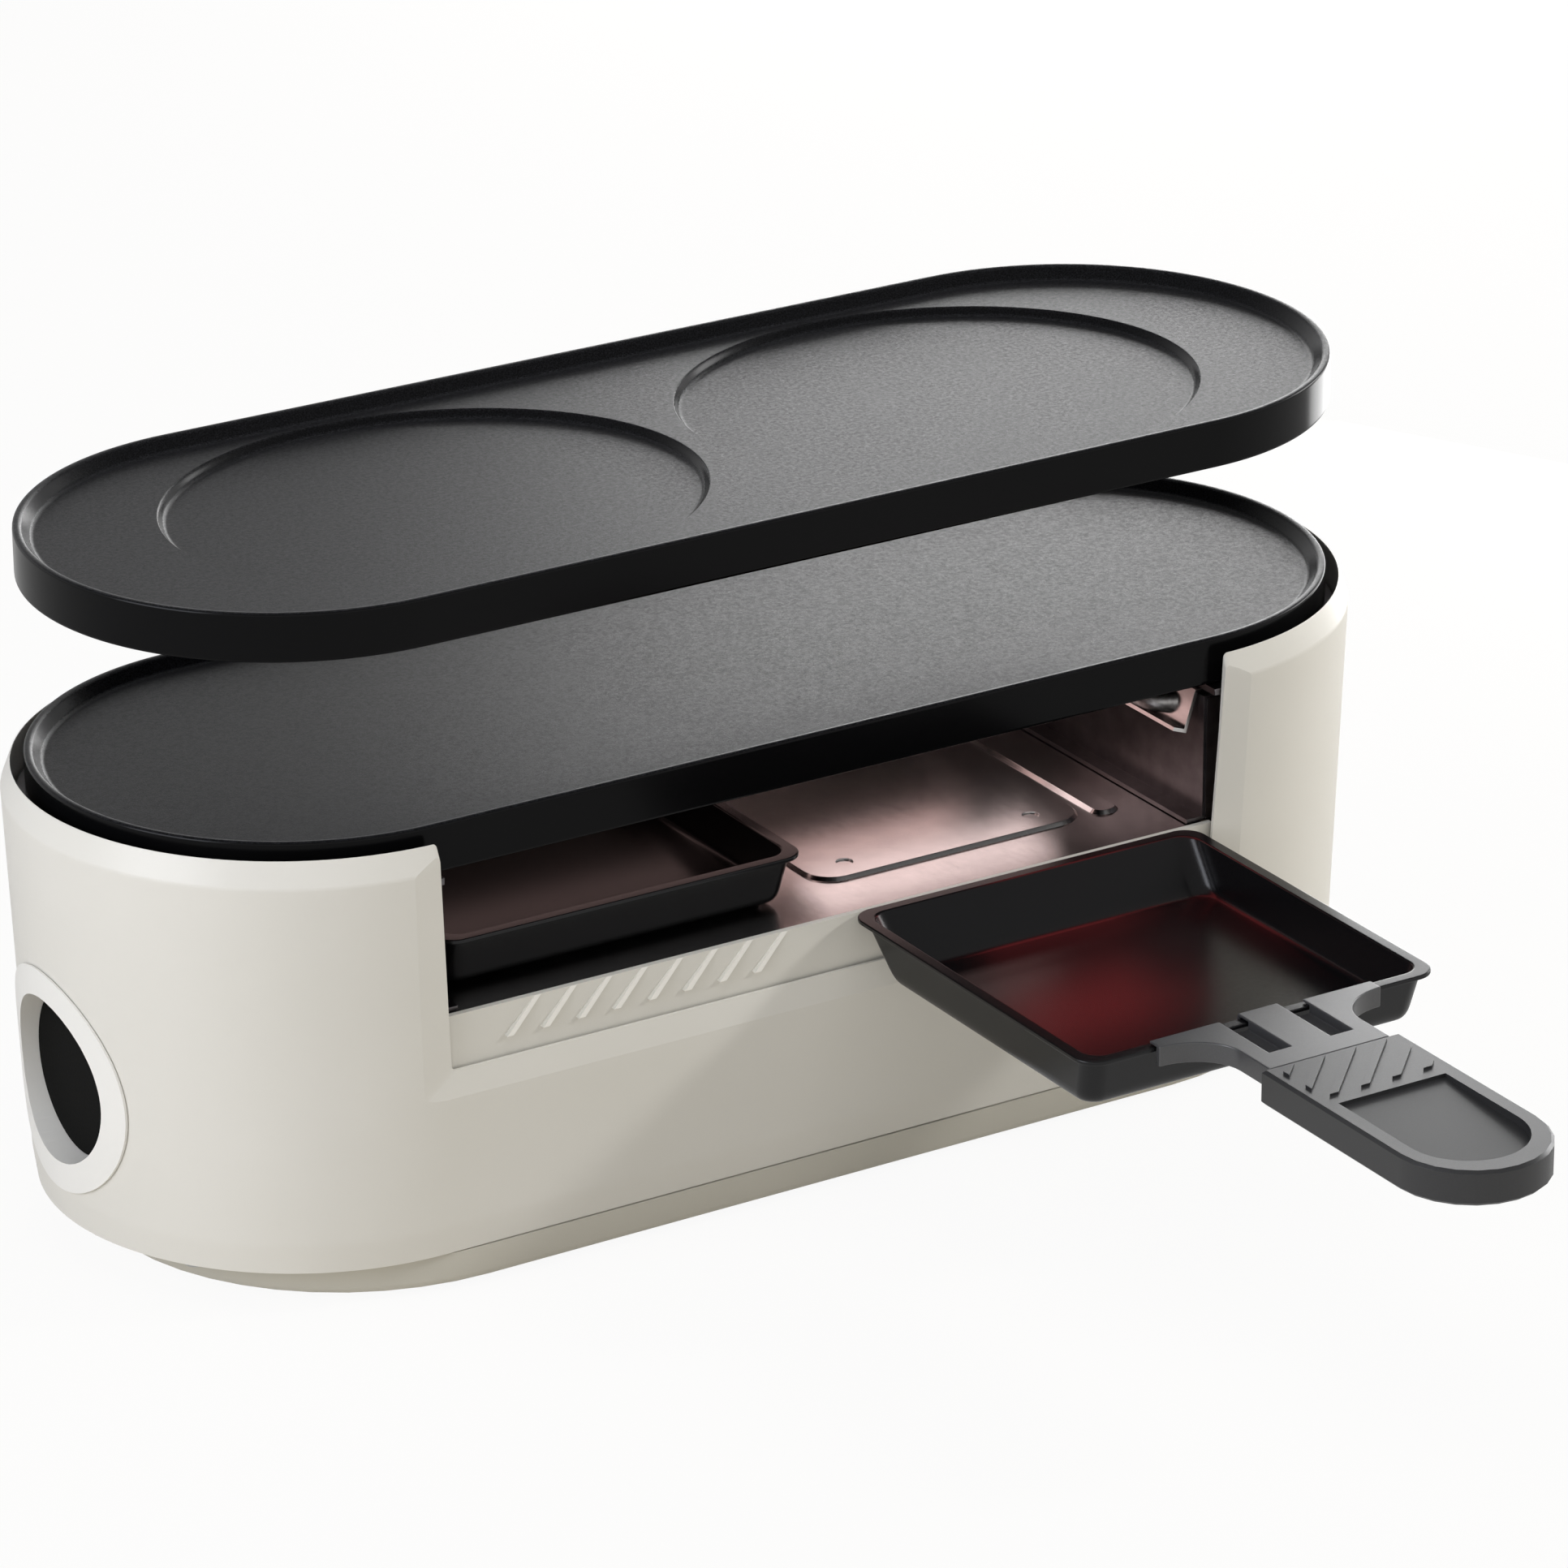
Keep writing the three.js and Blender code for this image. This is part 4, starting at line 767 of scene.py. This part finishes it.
CUP_Z = 49.4
CUP_RADIUS = 22.5
HOLE_MARGIN = 1.8
PAST_END, INSIDE_WALL = 200, 176
shell = shell_wall()
carve(shell, notch_tool())
for side in (1, -1):
    carve(shell, end_rod("cup_hole", side, CUP_RADIUS + HOLE_MARGIN, INSIDE_WALL, PAST_END))
soften(shell, 0.22, 2, angle=8, sharp=35)
put(shell, cream, "shell")
print("shell:", len(shell.data.polygons), "faces")

# %% [markdown]
# ## Cups in the ends
# A flat ring lies on each end, round a short tube. On the left the tube holds a dark disc; on the
# hidden right it holds the power inlet. The ring follows the curve of the wall, so it is cut from
# the shell's own form grown by its thickness.

# %% Cups
RING_RADIUS = 30.3
RING_PROUD, RING_GAP = 0.9, 0.3
TUBE_WALL = 1.5
CUP_BACK, CUP_SEAT, BEHIND_CUP = 181.4, 183.0, 170
SEAT_WIDTH = 3.5
DISC_OUT, DISC_IN, DISC_GAP = 184.7, 183.3, 0.3


def cup(name, side):
    """A ring on the wall with a tube inside it and a seat at the tube's end."""
    ring = carve(end_rod(name, side, RING_RADIUS, CUP_BACK, PAST_END),
                 shell_solid("grown", RING_PROUD), "INTERSECT")
    carve(ring, shell_solid("inner", RING_GAP))
    tube = carve(end_rod("tube", side, CUP_RADIUS + TUBE_WALL, CUP_BACK, PAST_END),
                 shell_solid("grown", RING_PROUD), "INTERSECT")
    carve(ring, tube, "UNION")
    carve(ring, end_rod("bore", side, CUP_RADIUS, CUP_SEAT, PAST_END))
    carve(ring, end_rod("window", side, CUP_RADIUS - SEAT_WIDTH, BEHIND_CUP, PAST_END))
    return soften(ring, 0.3, 2, angle=30)


# the cups' paler cream is partly painted light
put(cup("cup_left_ring", -1), cup_cream_partly_painted_light, "cup_left")
put(cup("cup_right_ring", 1), cup_cream_partly_painted_light, "cup_right")
disc = end_rod("cup_left_disc", -1, CUP_RADIUS - DISC_GAP, DISC_IN, DISC_OUT)
put(soften(disc, 0.2), disc_plastic, "cup_plate_left")
dress("inlet", black_plastic, 0.25)
print("cups done")

# %% [markdown]
# ## Plinth, sill, tray and walls
# These are sheet and moulded parts whose CAD shapes are right. A real edge is never knife sharp:
# a small bevel catches the light, and that is what makes a part look made. The number in each
# call is the width of that bevel in millimetres.

# %% Sheet parts
# the plinth's darker cream is painted shade
dress("base_pan", plinth_cream_painted_shade, 0.3)
# the sill's paler stripes are painted light
dress("apron", sill_cream_painted_light, 0.22)
dress("reflector_tray", tray_steel, 0.3, angle=20)
for name in ("side_wall_right", "side_wall_left", "end_deck_right", "end_deck_left"):
    dress(name, dark_steel, 0.2)
# the rear wall's pale steel is painted light
dress("rear_wall", rear_steel_painted_light, 0.2)
for name in ("trough_right", "trough_left"):
    dress(name, tray_steel, 0.15)
print("sheet parts:", len(dressed), "nodes dressed")

# %% [markdown]
# ## Heating element
# One bar bent into a long loop under the plate. It is made as a tube swept along straight runs and
# rounded bends, finer than the CAD bar.

# %% Heating element
ELEMENT_RADIUS = 3.2
STUD_RADIUS, STUD_IN, STUD_OUT = 1.2, 1, 13


def bent_path(corners, radii, steps=10):
    """Points along straight runs, with each corner rounded."""
    points = [Vector(corners[0])]
    for before, corner, after, radius in zip(corners, corners[1:], corners[2:], radii):
        corner = Vector(corner)
        start = corner + (Vector(before) - corner).normalized() * radius
        end = corner + (Vector(after) - corner).normalized() * radius
        for step in range(steps + 1):
            t = step / steps
            points.append(start * (1 - t) ** 2 + corner * 2 * t * (1 - t) + end * t ** 2)
    return points + [Vector(corners[-1])]


def tube(name, path, radius, sides=24):
    """A round bar along a flat path of points, all at one height."""
    up = Vector((0, 0, 1))
    rings = []
    for place, point in enumerate(path):
        before = path[max(place - 1, 0)]
        after = path[min(place + 1, len(path) - 1)]
        across = (after - before).normalized().cross(up)
        rings.append([tuple(point + across * radius * math.cos(a) + up * radius * math.sin(a))
                      for a in (2 * math.pi * step / sides for step in range(sides))])
    return loft(name, rings)


element_low, element_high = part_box("heating_element")
ELEMENT_Z = (element_low.z + element_high.z) / 2 / MM
SIDE_X = -element_low.x / MM - ELEMENT_RADIUS
LEG_Y, RUN_Y, BEND = 59, 24, 12
OUTLET_X = SIDE_X + 2 * BEND
loop = [(OUTLET_X, -LEG_Y), (SIDE_X, -LEG_Y), (SIDE_X, -RUN_Y), (-SIDE_X, -RUN_Y),
        (-SIDE_X, RUN_Y), (SIDE_X, RUN_Y), (SIDE_X, LEG_Y), (OUTLET_X, LEG_Y)]
element = tube("element_bar", bent_path([(x, y, ELEMENT_Z) for x, y in loop], [BEND] * 6),
               ELEMENT_RADIUS)
for side in (1, -1):
    carve(element, rod("stud", side * LEG_Y, ELEMENT_Z, STUD_RADIUS,
                       OUTLET_X - STUD_IN, OUTLET_X + STUD_OUT, steps=24), "UNION")
soften(element, 0)
put(element, element_steel, "heating_element")
print("element at z", round(ELEMENT_Z, 1), "side runs at x", round(SIDE_X, 1))

# %% [markdown]
# ## Pans
# Thin cast trays: a flat flange, steep walls and a back wall that slopes more, so that the cheese
# slides out. Each ring of the loft is a rounded box, and the path of rings runs down the outside
# and up the inside.

# %% Pans
PAN_WIDTH = 107.5
PAN_DEPTH = 111
PAN_HEIGHT = 14.5
PAN_FLOOR = 2
FLANGE, FLANGE_THICK = 2, 1.2
PAN_WALL = 1.4
INSIDE = FLANGE + PAN_WALL
SIDE_SLOPE, FRONT_SLOPE, BACK_SLOPE = 1.5, 3.4, 11.5
FLOOR_EDGE, FLOOR_CORNER = 4.5, 1.2
PAN_CORNER, FLANGE_CORNER = 5.5, 6
PAN_BENDS = (3.6, 0.6, 0.35, 0.4, 0.5, 2.4)


def pan(name, centre_x, centre_y, z):
    """One pan; a row of its path is an inset, a share of the slope, a height and a corner."""
    def ring(inset, share, height, corner):
        return box_ring(centre_x - PAN_WIDTH / 2 + inset + SIDE_SLOPE * share,
                        centre_x + PAN_WIDTH / 2 - inset - SIDE_SLOPE * share,
                        centre_y - PAN_DEPTH / 2 + inset + FRONT_SLOPE * share,
                        centre_y + PAN_DEPTH / 2 - inset - BACK_SLOPE * share, corner, z + height)

    under = PAN_HEIGHT - FLANGE_THICK
    path = [(FLANGE + FLOOR_EDGE, 1, 0, FLOOR_CORNER), (FLANGE, 1, 0, PAN_CORNER),
            (FLANGE, 0, under, PAN_CORNER), (0, 0, under, FLANGE_CORNER),
            (0, 0, PAN_HEIGHT, FLANGE_CORNER), (INSIDE, 0, PAN_HEIGHT, PAN_CORNER),
            (INSIDE, 1, PAN_FLOOR, PAN_CORNER), (INSIDE + FLOOR_EDGE, 1, PAN_FLOOR, FLOOR_CORNER)]
    return loft(name, [ring(*row) for row in rounded(path, PAN_BENDS, 5)])


pans = []
for name in ("pan_left", "pan_right"):
    low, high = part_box(name)
    piece = pan(name + "_casting", (low.x + high.x) / 2 / MM, (low.y + high.y) / 2 / MM, low.z / MM)
    soften(piece, 0)
    pans.append(put(piece, pan_coat, name))
    print(name, "is", round((high.x - low.x) / MM, 1), "by", round((high.y - low.y) / MM, 1))

# %% [markdown]
# ## Handle
# A coated bracket hooks over the pan's rim, and a grey moulded grip slides onto its tongue. The
# grip has leaning ribs for the thumb and a sunk field behind them. The field's floor slopes down
# toward the tip, so that its wall grows from a thin line to a dark crescent; the solid's field is
# flat, and a sloping tool cuts it deeper here.

# %% Handle
RIB_PROUD = 0.6
FIELD_HALF, FIELD_LENGTH, FIELD_FROM_TIP = 16.13, 45.63, 6.37
FIELD_SHALLOW, FIELD_DEEP = 1.05, 3
FIELD_STEPS = 32
ABOVE_GRIP = 2


def sloping_field():
    """The grip's sunk field as a cutting tool: straight at the ribs and round at the tip."""
    low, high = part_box("handle_grip")
    middle = (low.x + high.x) / 2 / MM
    top = high.z / MM - RIB_PROUD
    end = low.y / MM + FIELD_FROM_TIP
    outline = [(middle + FIELD_HALF, end + FIELD_LENGTH), (middle - FIELD_HALF, end + FIELD_LENGTH)]
    for step in range(FIELD_STEPS + 1):
        angle = math.pi * (1 + step / FIELD_STEPS)
        outline.append((middle + FIELD_HALF * math.cos(angle),
                        end + FIELD_HALF * (1 + math.sin(angle))))
    slope = (FIELD_DEEP - FIELD_SHALLOW) / FIELD_LENGTH
    floor = [(x, y, top - FIELD_DEEP + slope * (y - end)) for x, y in outline]
    return loft("field", [floor, [(x, y, top + ABOVE_GRIP) for x, y, z in floor]])


dress("handle_bracket", bracket_coat, 0.35)
dress("handle_grip", grip_plastic, 0.35, cut=sloping_field())
dress("handle_screw", zinc_steel, 0.15)
print("handle done")

# %% [markdown]
# ## Small parts
# Screws, feet, pins and leads keep their CAD shapes, with soft edges and their own finish.

# %% Small parts
for corner in ("front_right", "front_left", "rear_right", "rear_left"):
    dress("foot_" + corner, rubber, 0.3)
    dress("base_screw_" + corner, zinc_steel, 0.15)
    dress("wall_screw_" + corner, zinc_steel, 0.15)
for name in ("live", "earth", "neutral"):
    dress("inlet_pin_" + name, brass, 0.2)
for place in ("front", "rear"):
    dress("element_bead_" + place, ceramic, 0.2)
dress("thermostat", black_plastic, 0.3)
for name, sleeve in (("lead_element", red_sleeve), ("lead_live", red_sleeve),
                     ("lead_neutral", blue_sleeve), ("lead_earth", green_sleeve)):
    dress(name, sleeve, 0, angle=60)
left_over = sorted(set(nodes) - set(dressed))
print("not dressed:", left_over)

# %% [markdown]
# ## Floor
# The background is white. The floor shows its own white to the camera and a dimmer one to glossy
# surfaces, and mixes in a little of its real shading, so that a faint shadow stays. Painting the
# background white this way is better than more light, which would burn out the cream shell.

# %% Floor
FLOOR_COLOUR = (0.76, 0.71, 0.62, 1)
FLOOR_ROUGHNESS = 0.9
GLOSSY_WHITE = 0.62
WHITE_SHARE = 0.93


def larger(tree, first, second):
    """The larger of two values."""
    step = tree.nodes.new("ShaderNodeMath")
    step.operation = "MAXIMUM"
    tree.links.new(first, step.inputs[0])
    tree.links.new(second, step.inputs[1])
    return step.outputs["Value"]


def white_floor():
    """A floor that is nearly its own white to the camera and keeps a little of its shading."""
    material = bpy.data.materials.new("floor_white")
    material.use_nodes = True
    tree = material.node_tree
    shader = tree.nodes["Principled BSDF"]
    shader.inputs["Base Color"].default_value = FLOOR_COLOUR
    shader.inputs["Roughness"].default_value = FLOOR_ROUGHNESS
    glow = tree.nodes.new("ShaderNodeEmission")
    rays = tree.nodes.new("ShaderNodeLightPath")
    glossy = rays.outputs["Is Glossy Ray"]
    tree.links.new(blend_range(tree, glossy, 0, 1, 1.0, GLOSSY_WHITE), glow.inputs["Strength"])
    seen = larger(tree, rays.outputs["Is Camera Ray"], glossy)
    mix = tree.nodes.new("ShaderNodeMixShader")
    tree.links.new(blend_range(tree, seen, 0, 1, 0, WHITE_SHARE), mix.inputs["Fac"])
    tree.links.new(shader.outputs["BSDF"], mix.inputs[1])
    tree.links.new(glow.outputs["Emission"], mix.inputs[2])
    tree.links.new(mix.outputs["Shader"], tree.nodes["Material Output"].inputs["Surface"])
    return material


FLOOR_HALF, FLOOR_Z = 6000, -1
floor_corners = [(-FLOOR_HALF, -FLOOR_HALF, FLOOR_Z), (FLOOR_HALF, -FLOOR_HALF, FLOOR_Z),
                 (FLOOR_HALF, FLOOR_HALF, FLOOR_Z), (-FLOOR_HALF, FLOOR_HALF, FLOOR_Z)]
floor = mesh_piece("floor", floor_corners, [(0, 1, 2, 3)])
floor.data.materials.append(white_floor())
print("floor", 2 * FLOOR_HALF * MM, "m wide")

# %% [markdown]
# ## Room
# The world is white to the camera and dim to everything that it lights. Glossy surfaces see pale
# walls low down and a dim ceiling, as in a room with a bright backdrop, so that steep faces get a
# soft shine and level ones stay dark.

# %% Room
ROOM_LEVEL = 0.16
WALLS_UP_TO, CEILING_FROM = 0.25, 0.6
world = bpy.data.worlds.new("studio")
bpy.context.scene.world = world
world.use_nodes = True
tree = world.node_tree
room = tree.nodes["Background"]
room.inputs["Color"].default_value = (1, 1, 1, 1)
rays = tree.nodes.new("ShaderNodeLightPath")
axes = tree.nodes.new("ShaderNodeSeparateXYZ")
tree.links.new(tree.nodes.new("ShaderNodeTexCoord").outputs["Generated"], axes.inputs["Vector"])
walls = blend_range(tree, axes.outputs["Z"], WALLS_UP_TO, CEILING_FROM, 1.0, ROOM_LEVEL)
bright = product(tree, rays.outputs["Is Glossy Ray"], walls)
seen = larger(tree, rays.outputs["Is Camera Ray"], bright)
tree.links.new(blend_range(tree, seen, 0, 1, ROOM_LEVEL, 1.0), room.inputs["Strength"])
print("room level", ROOM_LEVEL)

# %% [markdown]
# ## Lamps
# The light is a big cool soft box from the left, a wide one from above, and weak ones at the front
# and right. A small lamp at the front right draws the soft edge of the pan's shadow on the wall.
# Three of them light the grill without being mirrored in it, so that black coats stay black.
# A lamp low behind the right end is there for the plates alone: at a flat angle they mirror it, and
# so their tops go from dark on the left to pale grey on the right. A dim card on the floor beside
# the right end does the same for the plates' round skirts.

# %% Lamps
GRILL_MIDDLE = (0, 0, 0.08)


def soft_box(name, place, aim, size, power, mirrored=True):
    """A square lamp of a size and a power, which faces a point; places and size in metres."""
    data = bpy.data.lights.new(name, "AREA")
    data.size = size
    data.energy = power
    lamp = bpy.data.objects.new(name, data)
    lamp.location = place
    lamp.rotation_euler = (Vector(aim) - Vector(place)).to_track_quat("-Z", "Y").to_euler()
    lamp.visible_camera = False
    lamp.visible_glossy = mirrored
    bpy.context.scene.collection.objects.link(lamp)
    return lamp


key = soft_box("key", (-1.25, -0.15, 0.6), GRILL_MIDDLE, 0.8, 9.3)
key.data.color = (0.96, 1.0, 1.1)
soft_box("top", (-0.1, -0.3, 1.4), GRILL_MIDDLE, 1.2, 6.6, mirrored=False)
soft_box("front", (-0.75, -1.25, 0.25), (0, 0, 0.06), 1.0, 3.1, mirrored=False)
soft_box("front_right", (1.2, -0.75, 0.88), GRILL_MIDDLE, 0.2, 7.2, mirrored=False)
soft_box("right", (1.25, 0.0, 0.45), GRILL_MIDDLE, 0.5, 4.8)
soft_box("rim", (0.83, 0.95, 0.335), (0, 0, 0.1), 0.56, 5.2)
soft_box("card", (0.54, 0.18, 0.004), (0.2, 0.0, 0.17), 0.36, 1.5)
print(len(bpy.data.lights), "lamps round the grill")

# %% [markdown]
# ## Light in the bay
# In the bay hang two small strips under the plate, unseen by the camera: one stands for the light
# that the bright sheets throw about, the other for the element's red glow. Light linking keeps the
# red one to the pans, because a mirror-bright tray would show it as a red stripe. It hangs near the
# front of the bay, where the floor of the right pan mirrors it.

# %% Light in the bay
STRIP_Z = 0.104
NEARLY_NOTHING = 0.0001


def strip_lamp(name, x, y, length, width, power, colour):
    """A small lamp that lies under the plate and looks down; places in metres."""
    lamp = soft_box(name, (x, y, STRIP_Z), (x, y + NEARLY_NOTHING, 0), length, power)
    lamp.data.shape = "RECTANGLE"
    lamp.data.size_y = width
    lamp.data.color = colour
    return lamp


strip_lamp("bay", 0.0875, -0.001, 0.105, 0.022, 0.0115, (1.0, 0.8, 0.78))
glow = strip_lamp("glow", 0.092, -0.06, 0.06, 0.03, 0.0075, (1.0, 0.1, 0.11))
lit_by_glow = bpy.data.collections.new("pans")
for piece in pans:
    lit_by_glow.objects.link(piece)
glow.light_linking.receiver_collection = lit_by_glow
bpy.context.scene.view_settings.view_transform = "Standard"
print(len(bpy.data.lights), "lamps in all")
